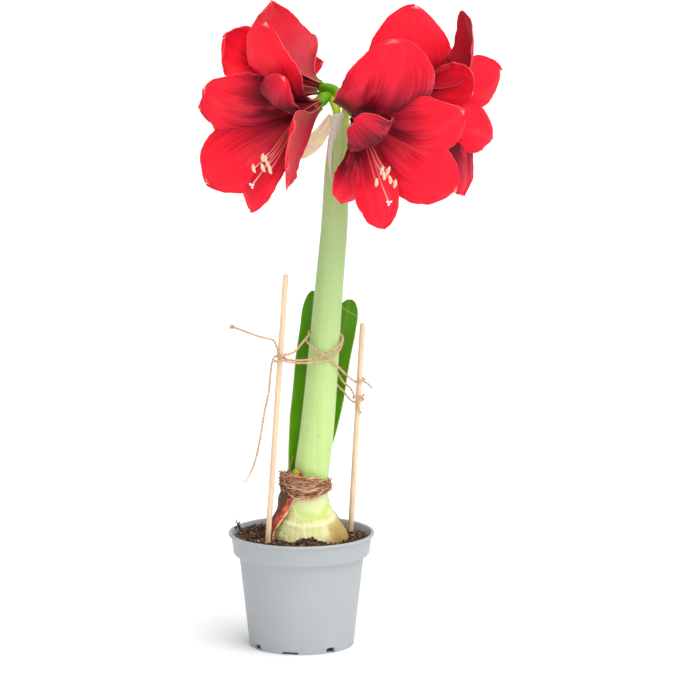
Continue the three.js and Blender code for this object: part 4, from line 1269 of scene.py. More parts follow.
def new_sheet(name, across, steps, place, finish, node, thickness):
    """Makes a piece of one thin sheet whose points place(s, t) sets."""
    bm = bmesh.new()
    add_grid(bm, across, steps, place)
    thicken(new_piece(name, bm, [finish], node), thickness)


class AMARYLLIS_OT_bulb(bpy.types.Operator):
    """Add the bulb with its scales, brown skin, dry fringe and torn scale"""

    bl_idname = "amaryllis.bulb"
    bl_label = "Bulb"

    def execute(self, context):
        draw = random.Random(RING_SEED)
        bm = bmesh.new()
        add_scales(bm)
        new_piece("bulb_scales", bm, [bulb_finish()], "bulb_flesh")
        new_sheet("bulb_skin_sheet", 170, 70, skin_place, skin_finish(), "bulb_skin", 0.0004)

        bm = bmesh.new()
        bm.verts.layers.float.new("tone")
        add_bands(bm)
        add_strips(bm, draw)
        add_flakes(bm, draw)
        thicken(new_piece("neck_fringe", bm, [fringe_finish()], "bulb_skin"), 0.0003)

        new_sheet("torn_scale_strip", 20, 80, torn_place, torn_finish(), "bulb_torn_scale",
                  0.0006)
        new_sheet("scale_remnant", 90, 14, remnant_place, remnant_finish(), "bulb_skin", 0.0007)

        bm = bmesh.new()
        bm.verts.layers.float.new("tone")
        add_scraps(bm, NECK_SLIVERS, 14, 8, lambda t: max(1 - t, 0.06) ** 0.7,
                   section=lambda angle, t: 1 - 0.55 * abs(sin(angle)))
        new_piece("neck_slivers", bm, [fringe_finish()], "bulb_skin")
        return {"FINISHED"}


# ---- scape and leaves


def scape_centre(height):
    """How far to the right the middle of the scape is at a height."""
    return along([(z, x) for x, z, _ in SCAPE_LINE], height)


def scape_radius(height):
    return along([(z, radius) for _, z, radius in SCAPE_LINE], height)


def stem_finish(colour):
    def build(nodes):
        place = nodes.place()
        height = nodes.parts(place)[2]
        base = nodes.ramp(nodes.step(height, 0.15, 0.5), (0.0, rgb(196, 222, 138)),
                          (0.3, rgb(174, 204, 126)), (0.65, toned(colour, 0.84)), (1.0, rgb(172, 202, 120)))
        streaks = nodes.group(fibres_group(), Vector=place, Across=330, Along=9, Contrast=2.0)
        base = nodes.tint(base, streaks, 0.36, rgb(144, 182, 92))
        bloom = nodes.group(mottle_group(), Vector=place, Size=0.02, Contrast=1.4)
        base = nodes.tint(base, bloom, 0.22, rgb(206, 222, 178))
        scuffs = nodes.step(nodes.noise(nodes.scaled(place, 90, 90, 260), 1.0, 2), 0.68, 0.74)
        base = nodes.tint(base, scuffs, 0.35, rgb(140, 180, 82))
        fine = nodes.group(fibres_group(), Vector=place, Across=1500, Along=30, Contrast=1.0)
        return {"Base Color": base, "Roughness": nodes.step(bloom, 0, 1, 0.36, 0.5), "height": (fine, 0.0001)}
    return finish_of("stem_skin", build, Subsurface_Weight=0.1, Subsurface_Scale=0.004,
                     Specular_IOR_Level=0.5)


def stalk_finish():
    def build(nodes):
        place, uv = nodes.place(), nodes.uv()
        y = nodes.parts(uv)[1]
        patches = nodes.group(mottle_group(), Vector=place, Size=0.008, Contrast=1.4)
        base = nodes.ramp(y, (0.0, rgb(196, 214, 120)), (0.3, rgb(184, 206, 60)),
                          (0.55, rgb(150, 190, 14)), (0.7, rgb(84, 146, 0)), (1.0, rgb(80, 140, 0)))
        base = nodes.tint(base, nodes.step(patches, 0.5, 0.9), 0.4, rgb(164, 200, 20))
        fine = nodes.noise(place, 900, 2)
        return {"Base Color": base, "height": (fine, 0.0002)}
    return finish_of("green_stalk", build, Roughness=0.5, Specular_IOR_Level=0.18)


def stalk_points(bloom, root):
    """The middle line of a flower stalk, from the top of the stem to the base of its bloom."""
    axis, base = Vector(bloom["axis"]).normalized(), Vector(bloom["base"])
    x, y = root
    line = SmoothLine([(35 + x, y, 466), (35.5 + 1.3 * x, 1.3 * y, 480), base - axis * 16, base - axis * 0.3])
    return line.even(48)


class AMARYLLIS_OT_scape(bpy.types.Operator):
    """Add the flower stem with its four stalks and ovaries"""

    bl_idname = "amaryllis.scape"
    bl_label = "Flower stem"

    def execute(self, context):
        settings = context.scene.amaryllis_plant
        bm = bmesh.new()
        line = SmoothLine([(x, 0, z) for x, z, _ in SCAPE_LINE])
        rows = line.even(150)
        radii = [(z, radius) for _, z, radius in SCAPE_LINE]

        def place(s, t):
            point = rows[round(t * 150)]
            turn = pi * s
            close = min(1, 0.35 + 6 * (1 - t) ** 0.5 * 0.4) if t > 0.98 else 1
            radius = eased(radii, point.z, 6) * close
            ribs = 0.1 * sin(9 * turn + 1) + 0.06 * sin(25 * turn)
            dents = 0.25 * bumps(cos(turn) * 1.6, sin(turn) * 1.6, point.z * 0.02)
            radius += ribs + dents
            return point + Vector((radius * cos(turn), radius * SCAPE_FLATTENING * sin(turn), 0))
        add_grid(bm, 96, 150, place, wrap=True, capped=True)
        new_piece("flower_stem", bm, [stem_finish(tuple(settings.stem))], "scape")

        def lobes(angle, t):
            return 1 + smooth(t, 0.6, 0.8) * (0.07 * cos(3 * angle) + 0.025 * cos(6 * angle))
        bm = bmesh.new()
        for bloom, root in zip(BLOOMS, STALK_ROOTS):
            add_tube(bm, stalk_points(bloom, root), lambda t: eased(STALK_THICKNESS, t, 0.05), 30,
                     section=lobes)
        new_piece("flower_stalks", bm, [stalk_finish()], "scape")
        return {"FINISHED"}


def leaf_finish(name, colour, crease_tone_and_light, scratch):
    """A waxy blade with parallel veins. crease_tone_and_light greys it beyond a crease, partly as the turned
    face's colour and partly as painted light, and scratch draws a pale scar.
    """
    def build(nodes):
        place, uv = nodes.place(), nodes.uv()
        x, y, _ = nodes.parts(uv)
        veins = nodes.group(veins_group(), Vector=uv, Lines=26.0, Wander=0.01, Sharpness=1.6)
        patches = nodes.group(mottle_group(), Vector=place, Size=0.05, Grain=0.2, Contrast=1.8)
        base = nodes.mix(patches, toned(colour, 0.72), toned(colour, 1.25))
        base = nodes.tint(base, veins, 0.3, toned(colour, 0.55))
        centre = nodes.math("ABSOLUTE", nodes.math("SUBTRACT", x, 0.5))
        base = nodes.mix(nodes.step(centre, 0.16, 0.0, 0.0, 0.3), base, rgb(136, 188, 30))
        if crease_tone_and_light:
            # Beyond the crease: the colour of the blade's turned face, with painted light where that part
            # catches more light.
            crease = nodes.math("SUBTRACT", x, nodes.math("MULTIPLY_ADD", y, 0.55, 0.42))
            beyond = nodes.math("MULTIPLY", nodes.step(crease, 0.0, 0.02), nodes.step(y, 0.62, 0.45))
            base = nodes.tint(base, beyond, 0.6, rgb(142, 166, 92))
        if scratch:
            slope = nodes.math("MULTIPLY_ADD", x, -0.052, 0.975)
            run = nodes.math("ABSOLUTE", nodes.math("SUBTRACT", slope, y))
            wobble = nodes.math("MULTIPLY", nodes.noise(place, 300, 2), 0.004)
            scar = nodes.step(nodes.math("ADD", run, wobble), 0.0052, 0.003)
            base = nodes.tint(base, scar, 0.8, rgb(204, 224, 130))
        base = nodes.mix(nodes.step(y, 0.4, 0.85, 0.0, 0.6), base, toned(colour, 0.55))
        margin = nodes.step(nodes.off_middle(x), 0.955, 0.995)
        base = nodes.tint(base, margin, 0.35, rgb(176, 206, 90))
        return {"Base Color": base, "Roughness": nodes.step(patches, 0, 1, 0.3, 0.42),
                "height": (veins, 0.00012)}
    return finish_of(name, build, Specular_IOR_Level=0.25)


class AMARYLLIS_OT_leaves(bpy.types.Operator):
    """Add the two strap leaves behind the stem"""

    bl_idname = "amaryllis.leaves"
    bl_label = "Leaves"

    def execute(self, context):
        colour = tuple(context.scene.amaryllis_plant.leaf)
        for name, leaf in LEAVES.items():
            left = name == "leaf_left"
            line = SmoothLine([place[:3] for place in leaf["line"]])
            last = len(leaf["line"]) - 1
            turns = [(i / last, place[3]) for i, place in enumerate(leaf["line"])]
            bm = bmesh.new()

            def place(s, t):
                turn = radians(eased(turns, t, 0.08))
                half = eased(leaf["widths"], min(t, LEAF_ROUND_FROM), 0.035) / 2
                half *= max(1 - (max(t - LEAF_ROUND_FROM, 0) / LEAF_ROUND_OVER) ** 2, 0.01) ** 0.5
                bent = leaf["hollow"] * s * s * half / 12 + 0.35 * exp(-((s / 0.12) ** 2))
                bent += 0.18 * bumps(s * 2, t * 9, 5)
                if left:
                    bent += 2.2 * smooth(s - (1.1 * t - 0.16), 0.0, 0.8) * (1 - smooth(t, 0.3, 0.6))
                edge = 0.25 * abs(s) ** 6 * sin(19 * t)
                point = line.at(t)
                point.x += half * s * sin(turn) - bent * cos(turn)
                point.y += -half * s * cos(turn) - (bent + edge) * sin(turn)
                return point
            add_grid(bm, 22, 110, place)
            finish = leaf_finish("waxy_leaf_left" if left else "waxy_leaf_right",
                                 toned(colour, 1.25 if left else 1.1), left, not left)
            thicken(new_piece(name + "_blade", bm, [finish], name), 0.0014)
        return {"FINISHED"}


# ---- spathe


def papery_finish(name, pale, rosy):
    def build(nodes):
        place, uv = nodes.place(), nodes.uv()
        x = nodes.parts(uv)[0]
        veins = nodes.group(veins_group(), Vector=uv, Lines=11.0, Wander=0.05, Sharpness=2.2)
        patches = nodes.group(mottle_group(), Vector=place, Size=0.009, Contrast=2.4)
        base = nodes.mix(patches, rgb(*pale), rgb(*rosy))
        base = nodes.tint(base, veins, 0.35, rgb(228, 146, 120))
        margin = nodes.step(nodes.off_middle(x), 0.86, 1.0)
        base = nodes.tint(base, margin, 0.3, rgb(214, 170, 120))
        return {"Base Color": base, "height": (nodes.math("ADD", veins, nodes.noise(place, 700, 2)), 0.0003)}
    return finish_of(name, build, Roughness=0.65, Subsurface_Weight=0.6, Subsurface_Scale=0.004,
                     Subsurface_Radius=(1.0, 0.8, 0.6), Specular_IOR_Level=0.3)


class AMARYLLIS_OT_spathe(bpy.types.Operator):
    """Add the two withered valves below the blooms"""

    bl_idname = "amaryllis.spathe"
    bl_label = "Spathe"

    def execute(self, context):
        for name, valve in SPATHE.items():
            line, sides = SmoothLine(valve["line"]), SmoothLine(valve["across"])

            def place(s, t):
                side = sides.at(t).normalized()
                ahead = (line.at(min(t + 0.02, 1)) - line.at(max(t - 0.02, 0))).normalized()
                out = side.cross(ahead).normalized()
                half = eased(valve["widths"], t, 0.05) / 2 if t < 0.9 else along(valve["widths"], t) / 2
                pleat = 0.3 * sin(9 * s + 2 * t) * (1 - t) + 0.35 * bumps(s * 2, t * 6, 3)
                return line.at(t) + side * s * half * 0.98 + out * (0.9 * s * s * min(half / 6, 1) + pleat)
            finish = papery_finish(name + "_paper", valve["pale"], valve["rosy"])
            new_sheet(name + "_valve", 26, 60, place, finish, name, 0.0004)
        return {"FINISHED"}


# ---- blooms


def petal_marks(nodes):
    """The way along a petal and off its middle, a place for its own pattern, and the mask of its pale tip."""
    x, y, _ = nodes.parts(nodes.uv())
    own = nodes.add("ShaderNodeCombineXYZ", {"X": x, "Y": y, "Z": nodes.mask("petal")}).outputs[0]
    away = nodes.off_middle(x)
    tip = nodes.math("MULTIPLY", nodes.step(y, 0.968, 0.998), nodes.step(away, 0.7, 0.1))
    return y, away, own, nodes.math("MULTIPLY", tip, nodes.mask("pale"))


def petal_finish(colour, throat):
    """The velvety inside of a petal: dark in the throat, partly as painted shade, veined, with painted sheen,
    a pale margin and tip.
    """
    def build(nodes):
        y, away, own, tip = petal_marks(nodes)
        veins = nodes.group(veins_group(), Vector=own, Lines=15.0, Wander=0.07, Sharpness=3.5)
        streaks = nodes.drawn(own, 32, 1.9, 4, 0.65)
        pleats = nodes.drawn(own, 5.5, 1.4, 2)
        drift = nodes.math("MULTIPLY_ADD", pleats, 0.34, nodes.math("MULTIPLY", streaks, 0.34))
        # Throat colour: partly the petal's own darker throat, partly painted shade deep in the funnel; dark
        # also paints shade on shaded tepals.
        depth = nodes.math("ADD", nodes.math("SUBTRACT", y, nodes.mask("dark")), drift)
        base = nodes.ramp(depth, (0.5, throat), (0.64, rgb(84, 2, 18)), (0.74, rgb(138, 6, 32)),
                          (0.86, rgb(198, 12, 42)), (1.0, colour))
        # Painted sheen: a purple-pink velvet sheen laid into the colour between the throat and the bright
        # blade.
        painted_velvet_sheen = nodes.math("MULTIPLY", nodes.step(depth, 0.62, 0.76), nodes.step(depth, 1.05, 0.84))
        painted_velvet_sheen = nodes.math("MULTIPLY", painted_velvet_sheen, nodes.step(pleats, 0.46, 0.62, 0.0, 0.24))
        base = nodes.mix(painted_velvet_sheen, base, rgb(200, 56, 90))
        deep = rgb(150, 2, 30)
        brushed = nodes.step(streaks, 0.48, 0.34)
        base = nodes.tint(base, brushed, nodes.step(depth, 1.2, 0.85, 0.0, 0.34), deep)
        base = nodes.tint(base, veins, nodes.step(y, 0.75, 0.35, 0.0, 0.16), deep)
        # Painted shade and painted light: soft darker and lighter patches stand for the shading of the
        # blade's broad folds.
        folds = nodes.noise(nodes.scaled(own, 3.2, 2.4, 1.7), 1.0, 3)
        base = nodes.mix(nodes.step(folds, 0.5, 0.7, 0.0, 0.4), base, rgb(186, 6, 38))
        base = nodes.mix(nodes.step(folds, 0.44, 0.3, 0.0, 0.35), base, rgb(255, 62, 76))
        rib = nodes.step(away, 0.035, 0.0)
        base = nodes.tint(base, rib, nodes.step(y, 0.95, 0.3, 0.0, 0.3), rgb(150, 4, 32))
        margin = nodes.step(away, 0.975, 0.998)
        base = nodes.tint(base, margin, nodes.step(y, 0.3, 0.55, 0.0, 0.35), rgb(255, 138, 142))
        base = nodes.mix(tip, base, rgb(255, 214, 208))
        fine = nodes.math("MULTIPLY_ADD", veins, -0.05, nodes.math("MULTIPLY", streaks, 0.45))
        relief = nodes.math("MULTIPLY_ADD", pleats, 3.0, fine)
        relief = nodes.math("MULTIPLY_ADD", nodes.noise(nodes.place(), 1500, 2), 0.2, relief)
        return {"Base Color": base, "height": (relief, 0.0006)}
    return finish_of("petal_inside", build, Roughness=0.6, Specular_IOR_Level=0.16, Sheen_Weight=0.07,
                     Sheen_Roughness=0.4, Sheen_Tint=(1.0, 0.3, 0.42), Subsurface_Weight=0.25,
                     Subsurface_Scale=0.004)


def petal_back_finish(colour):
    """The outside of a petal: duller, with a raised paler rib, a green foot and painted shade."""
    def build(nodes):
        y, away, own, tip = petal_marks(nodes)
        streaks = nodes.drawn(own, 30, 1.6, 4, 0.65)
        patches = nodes.group(mottle_group(), Vector=nodes.place(), Size=0.02, Contrast=1.3)
        base = nodes.ramp(y, (0.0, rgb(110, 146, 24)), (0.07, rgb(132, 84, 40)),
                          (0.14, rgb(148, 30, 40)), (0.3, rgb(172, 14, 38)),
                          (0.6, rgb(208, 24, 48)), (0.95, toned(colour, 0.9)))
        # Painted shade: each tepal's dark value darkens its whole outside where it lies in shade.
        painted_tepal_shade = nodes.math("MULTIPLY", nodes.mask("dark"), 2.5, clamp=True)
        base = nodes.mix(painted_tepal_shade, base, rgb(136, 8, 32))
        base = nodes.mix(nodes.step(patches, 0.5, 0.85, 0.0, 0.25), base, rgb(232, 56, 70))
        base = nodes.mix(nodes.step(streaks, 0.48, 0.32, 0.0, 0.3), base, rgb(156, 8, 34))
        base = nodes.mix(nodes.step(streaks, 0.56, 0.74, 0.0, 0.15), base, rgb(240, 74, 88))
        rib = nodes.math("MULTIPLY", nodes.step(away, 0.09, 0.02), nodes.step(y, 0.9, 0.2, 0.0, 0.4))
        base = nodes.mix(rib, base, rgb(188, 66, 66))
        base = nodes.tint(base, nodes.step(away, 0.965, 0.998), 0.4, rgb(255, 130, 134))
        base = nodes.mix(tip, base, rgb(250, 200, 190))
        return {"Base Color": base, "height": (nodes.math("MULTIPLY_ADD", streaks, 0.5, rib), 0.0004)}
    return finish_of("petal_outside", build, Roughness=0.5, Specular_IOR_Level=0.25, Sheen_Weight=0.07,
                     Sheen_Roughness=0.4, Sheen_Tint=(1.0, 0.55, 0.6), Subsurface_Weight=0.08,
                     Subsurface_Scale=0.002)


class BloomFrame:
    """A bloom's base point with its right, up and outward directions."""

    def __init__(self, bloom):
        self.base = Vector(bloom["base"])
        self.axis = Vector(bloom["axis"]).normalized()
        self.right = Vector((0, 0, 1)).cross(self.axis).normalized()
        self.up = self.axis.cross(self.right)

    def at(self, right, up, out):
        return self.base + self.right * right + self.up * up + self.axis * out


def pressed(name, point):
    """The point, eased back to its bloom's own side of the plane that its neighbour presses against."""
    through, away, side = PRESSED[name]
    normal = Vector(away).normalized() * side
    height = (point - Vector(through)).dot(normal)
    share = (height - PRESS_CLEAR) / PRESS_SOFTNESS
    kept = PRESS_CLEAR + PRESS_SOFTNESS * (share if share > 30 else log1p(exp(share)))
    return point + normal * (kept - height)


def tepal_outline(t, widest, claw, point, shoulder):
    """Half of a tepal's width along it, as a share: a narrow claw, a broad blade and a rounded end."""
    if t < widest:
        return claw + (1 - claw) * sin(pi / 2 * (t / widest) ** shoulder) ** 2
    return max((1 - ((t - widest) / (1 - widest)) ** 2.2) ** point, 0.03)


def tepal_place(bloom, spot, tepal, seed):
    """The function that places the points of one tepal, with its ruffles, pleats and rib."""
    to_right, to_up, out = tepal["tip"]
    reach = hypot(to_right, to_up)
    radial = spot.right * (to_right / reach) + spot.up * (to_up / reach)
    aside = spot.axis.cross(radial)
    spread, sway = tepal.get("spread", 0.55), tepal.get("sway", 0)
    widest, tube = tepal.get("widest", WIDEST), tepal.get("tube", TUBE_LENGTH)
    full, cup, point = tepal["width"] / 2, tepal.get("cup", 6), tepal.get("point", 0.62)
    ruffle, crimp, torn = tepal.get("ruffle", 1.5), tepal.get("crimp", 1.6), tepal.get("torn", 1)
    p0 = spot.base + radial * TUBE_RADIUS + spot.axis * 0.4
    p1 = spot.base + radial * (TUBE_RADIUS + 3) + spot.axis * tube
    p2 = spot.base + radial * reach * spread + spot.axis * tepal["belly"] + aside * sway
    p3 = spot.base + radial * reach + spot.axis * out
    rows = {}

    def row(t):
        if t not in rows:
            u = 1 - t
            centre = p0 * u ** 3 + p1 * (3 * u * u * t) + p2 * (3 * u * t * t) + p3 * t ** 3
            ahead = ((p1 - p0) * (u * u) + (p2 - p1) * (2 * u * t) + (p3 - p2) * (t * t)).normalized()
            sideways = (aside - ahead * aside.dot(ahead)).normalized()
            inward = sideways.cross(ahead).normalized()
            twist = Quaternion(ahead, radians(tepal.get("twist", 0)) * smooth(t, 0.1, 0.6))
            half = full * tepal_outline(t, widest, CLAW / (2 * full), point, tepal.get("shoulder", 1.25))
            bowl = between(half * 0.45, cup * half / full, smooth(t, 0.1, 0.55))
            rows[t] = centre, twist @ sideways, twist @ inward, half, bowl
        return rows[t]

    def place(s, t):
        centre, sideways, inward, half, bowl = row(t)
        edge = abs(s)
        side = 1 if s >= 0 else -1
        open_part = smooth(t, 0.25, 0.6)
        wave = ruffle * smooth(t, 0.3, 0.7) * (
            sin(2 * pi * 2.5 * t + 2 * s) + 1.6 * bumps(t * 5, side, seed))
        frill = crimp * open_part * (bumps(t * 15, side, seed) + 0.6 * bumps(t * 34, seed, side))
        ragged = 1 + open_part * torn * (0.03 * bumps(t * 8, seed, side) + 0.022 * bumps(t * 24, side, seed))
        rib = -0.45 * exp(-((s * half / 1.3) ** 2)) * smooth(t, 0.05, 0.3) * (1 - smooth(t, 0.8, 0.97))
        pleat = 0.5 * open_part * bumps(s * 4, t * 1.5, seed * 5)
        crumple = 1.5 * open_part * bumps(s * 1.9, t * 4, seed * 3)
        spot_on = centre + sideways * (half * s * (1 - 0.08 * s * s) * ragged)
        spot_on += inward * (bowl * s * s + wave * edge ** 3 + frill * edge ** 7 + rib + pleat + crumple)
        return pressed(bloom["name"], spot_on)
    return place


class AMARYLLIS_OT_blooms(bpy.types.Operator):
    """Add the four blooms, each of six petals"""

    bl_idname = "amaryllis.blooms"
    bl_label = "Blooms"

    def execute(self, context):
        settings = context.scene.amaryllis_plant
        colour, throat = tuple(settings.petal), tuple(settings.throat)
        finishes = [petal_back_finish(colour), petal_finish(colour, throat)]
        for k, bloom in enumerate(BLOOMS):
            spot = BloomFrame(bloom)
            bm = bmesh.new()
            for name in ("petal", "dark", "pale"):
                bm.verts.layers.float.new(name)
            for i, tepal in enumerate(bloom["tepals"]):
                marks = {"petal": 1.3 * i + 9.1 * k, "dark": tepal.get("dark", 0),
                         "pale": tepal.get("pale", 0.75)}
                add_grid(bm, 30, 64, tepal_place(bloom, spot, tepal, 1.7 * i + 2.3 * k),
                         material=tepal.get("bright", 0), masks=lambda s, t: marks)
            piece = new_piece(bloom["name"] + "_petals", bm, finishes, bloom["name"])
            thicken(piece, settings.petal_thickness, backing=1)
        return {"FINISHED"}


# ---- stamens


def filament_finish():
    def build(nodes):
        y = nodes.parts(nodes.uv())[1]
        base = nodes.ramp(y, (0.0, rgb(150, 20, 34)), (0.35, rgb(220, 60, 66)),
                          (0.75, rgb(240, 120, 112)), (1.0, rgb(250, 196, 180)))
        fine = nodes.noise(nodes.place(), 1500, 2)
        return {"Base Color": base, "height": (fine, 0.0001)}
    return finish_of("pink_filament", build, Roughness=0.4, Subsurface_Weight=0.15, Subsurface_Scale=0.001)


def anther_finish():
    def build(nodes):
        pollen = nodes.noise(nodes.place(), 2600, 3, 0.7)
        base = nodes.ramp(pollen, (0.35, rgb(220, 172, 130)), (0.5, rgb(248, 216, 184)),
                          (0.66, rgb(255, 242, 222)))
        return {"Base Color": base, "height": (pollen, 0.0005)}
    return finish_of("cream_anther", build, Roughness=0.85, Specular_IOR_Level=0.2)


def stigma_finish():
    def build(nodes):
        pimples = nodes.noise(nodes.place(), 3000, 2)
        base = nodes.mix(nodes.step(pimples, 0.4, 0.65), rgb(250, 222, 220), rgb(255, 250, 248))
        return {"Base Color": base, "height": (pimples, 0.0003)}
    return finish_of("white_stigma", build, Roughness=0.6, Subsurface_Weight=0.2, Subsurface_Scale=0.001)


def rod_points(spot, end, angle, distance):
    """The middle line of a filament or style, which starts at a distance and angle off the bloom's axis."""
    right, up, out = end
    x, y = distance * cos(angle), distance * sin(angle)
    return SmoothLine([
        spot.at(x, y, 3), spot.at(x + right * 0.12, y + up * 0.12 - 1.5, out * 0.4),
        spot.at(x * 0.4 + right * 0.6, y * 0.4 + up * 0.6 - 4, out * 0.78), spot.at(right, up, out),
    ]).even(30)


def add_stamen(bm, spot, end, angle, lean):
    """Adds a filament and, across its end, a plump anther with a furrow."""
    add_tube(bm, rod_points(spot, end, angle, 1.9), lambda t: between(0.62, 0.36, t), 8)
    right, up, out = end
    line = SmoothLine([
        spot.at(right - lean, up + 4.1, out - 0.5), spot.at(right + 0.2 * lean, up, out + 0.5),
        spot.at(right + lean, up - 4.1, out - 0.5),
    ]).even(16)

    def plump(t):
        return 1.5 * max(sin(pi * min(max(t, 0.03), 0.97)), 0.05) ** 0.45

    def furrow(angle, t):
        cleft = 0.28 * exp(-((sin(angle / 2) / 0.22) ** 2))
        return 1 - cleft - 0.12 * cos(2 * angle)
    add_tube(bm, line, plump, 16, material=1, section=furrow)


def add_pistil(bm, spot, end):
    """Adds the style and the three lobes of its stigma."""
    add_tube(bm, rod_points(spot, end, 0, 0), lambda t: between(0.75, 0.5, t), 8)
    across, high, out = end

    def swell(t):
        return between(0.6, 1.0, smooth(t, 0.1, 0.8)) * (1 if t < 0.95 else 0.5)
    for i in range(3):
        turn = 2 * pi * i / 3 + 0.5
        right, up = 2.6 * cos(turn), 2.6 * sin(turn)
        lobe = SmoothLine([
            spot.at(across, high, out - 0.6), spot.at(across + right * 0.5, high + up * 0.5, out + 0.5),
            spot.at(across + right, high + up, out - 0.1),
        ]).even(10)
        add_tube(bm, lobe, swell, 10, material=2)


class AMARYLLIS_OT_stamens(bpy.types.Operator):
    """Add the filaments, anthers and three-lobed stigmas"""

    bl_idname = "amaryllis.stamens"
    bl_label = "Stamens"

    def execute(self, context):
        finishes = [filament_finish(), anther_finish(), stigma_finish()]
        for bloom in BLOOMS:
            spot = BloomFrame(bloom)
            bm = bmesh.new()
            hub = [spot.at(0, 0, 1.8 + 0.4 * i) for i in range(9)]
            add_tube(bm, hub, lambda t: 2.6 * (1 - 0.5 * t * t), 16)
            ends = bloom["anthers"]
            middle = [sum(end[i] for end in ends) / len(ends) for i in (0, 1)]
            for i, end in enumerate(ends):
                angle = atan2(end[1] - middle[1], end[0] - middle[0])
                add_stamen(bm, spot, end, angle, 1.2 * sin(2.4 * i))
            add_pistil(bm, spot, bloom["stigma"])
            node = bloom["name"].replace("bloom", "stamens")
            new_piece(bloom["name"] + "_stamens", bm, finishes, node)
        return {"FINISHED"}


# ---- sticks and twine


def wood_finish(colour):
    def build(nodes):
        place = nodes.place()
        grain = nodes.group(fibres_group(), Vector=place, Across=1500, Along=24, Contrast=2.4)
        figure = nodes.group(fibres_group(), Vector=place, Across=360, Along=9, Contrast=1.8)
        base = nodes.mix(figure, toned(colour, 0.86), toned(colour, 1.1))
        base = nodes.tint(base, nodes.step(grain, 0.5, 0.8), 0.4, rgb(206, 160, 116))
        low = nodes.step(nodes.parts(place)[2], 0.112, 0.1)
        base = nodes.tint(base, low, 0.35, rgb(150, 110, 78))
        return {"Base Color": base, "height": (grain, 0.0002)}
    return finish_of("pale_stick_wood", build, Roughness=0.7, Specular_IOR_Level=0.3)


class AMARYLLIS_OT_sticks(bpy.types.Operator):
    """Add the two wooden support sticks"""

    bl_idname = "amaryllis.sticks"
    bl_label = "Sticks"

    def execute(self, context):
        finish = wood_finish(tuple(context.scene.amaryllis_tie.wood))
        for k, (name, (foot, top)) in enumerate(STICKS.items()):
            bm = bmesh.new()
            points = [Vector(foot).lerp(Vector(top), i / 90) for i in range(91)]

            def radius(t):
                return STICK_RADIUS * (1 - 0.14 * smooth(t, 0.994, 1) - 0.2 * smooth(t, 0.006, 0))

            def worn(angle, t):
                wear = 0.012 * bumps(cos(angle), sin(angle) + k, t * 14)
                return 1 - 0.02 * abs(sin(2.5 * angle)) + wear
            add_tube(bm, points, radius, 28, section=worn)
            new_piece(name + "_rod", bm, [finish], name)
        return {"FINISHED"}


def jute_finish(colour):
    def build(nodes):
        place, uv = nodes.place(), nodes.uv()
        hairs = nodes.drawn(uv, 5, 6, 3, 0.6)
        tint = nodes.group(mottle_group(), Vector=place, Size=0.006, Contrast=2.0)
        base = nodes.mix(tint, toned(colour, 0.72), toned(colour, 1.12))
        base = nodes.mix(nodes.step(hairs, 0.56, 0.38, 0.0, 0.75), base, rgb(160, 100, 70))
        height = nodes.parts(place)[2]
        base = nodes.mix(nodes.step(height, 0.168, 0.156, 0.0, 0.7), base, rgb(246, 236, 218))
        return {"Base Color": base, "height": (hairs, 0.0004)}
    return finish_of("jute", build, Roughness=0.9, Specular_IOR_Level=0.15, Sheen_Weight=0.1)


def add_fuzz(bm, rows, per_centimetre, draw, longest=2.2):
    """Stands loose fibres off a twisted strand."""
    length = sum((b[0] - a[0]).length for a, b in zip(rows, rows[1:]))
    for _ in range(int(length / 10 * per_centimetre)):
        point, ahead, side, other = rows[draw.randrange(len(rows))]
        turn = draw.uniform(0, 2 * pi)
        off = side * cos(turn) + other * sin(turn)
        way = off * draw.uniform(0.3, 1) + ahead * draw.gauss(0, 1)
        add_sliver(bm, point + off * 0.7, way, draw.uniform(0.8, longest), draw.uniform(0.05, 0.085))


class AMARYLLIS_OT_twine_tails(bpy.types.Operator):
    """Add the two free ends of the twine"""

    bl_idname = "amaryllis.twine_tails"
    bl_label = "Twine ends"

    def execute(self, context):
        settings = context.scene.amaryllis_tie
        radius = settings.diameter / 2 / MM
        draw = random.Random(TAIL_SEED)
        finish = jute_finish(tuple(settings.jute))
        tails = (
            ("twine_tail_long", LONG_TAIL, "limp", "hanging"),
            ("twine_tail_short", SHORT_TAIL, "stiff", "loose"),
        )
        for name, route, stiffness, lay in tails:
            bm = bmesh.new()
            rows = add_rope(bm, [Vector(point) / MM for point in route], radius)
            add_fuzz(bm, rows, settings.fuzz, draw)
            point, ahead, side, other = rows[-1]
            for _ in range(90):
                turn, slant = draw.uniform(0, 2 * pi), draw.uniform(0.1, 0.5)
                off = side * cos(turn) + other * sin(turn)
                start = point - ahead * draw.uniform(3, 4.6) + off * 0.35 * radius
                add_sliver(bm, start, ahead + off * slant, draw.uniform(4, 5.4), draw.uniform(0.24, 0.38))
            piece = new_piece(name + "_strand", bm, [finish], name)
        return {"FINISHED"}


def on_scape(angle, height, outside):
    """A point of the twine that lies round the scape."""
    turn = radians(angle)
    radius = scape_radius(height)
    return (scape_centre(height) + (radius + outside) * cos(turn),
            (radius * SCAPE_FLATTENING + outside) * sin(turn), height)


def on_stick(name, angle, height):
    """A point of the twine that lies round a stick."""
    foot, top = STICKS[name]
    turn = radians(angle)
    share = (height - foot[2]) / (top[2] - foot[2])
    return (between(foot[0], top[0], share) + WINDING_RADIUS * cos(turn),
            foot[1] + WINDING_RADIUS * sin(turn), height)


def winding(name, start, end, low, high):
    """Turns round a stick, from one angle and height to another."""
    steps = ceil(abs(end - start) / 30)
    return [on_stick(name, between(start, end, i / steps), between(low, high, i / steps))
            for i in range(steps + 1)]


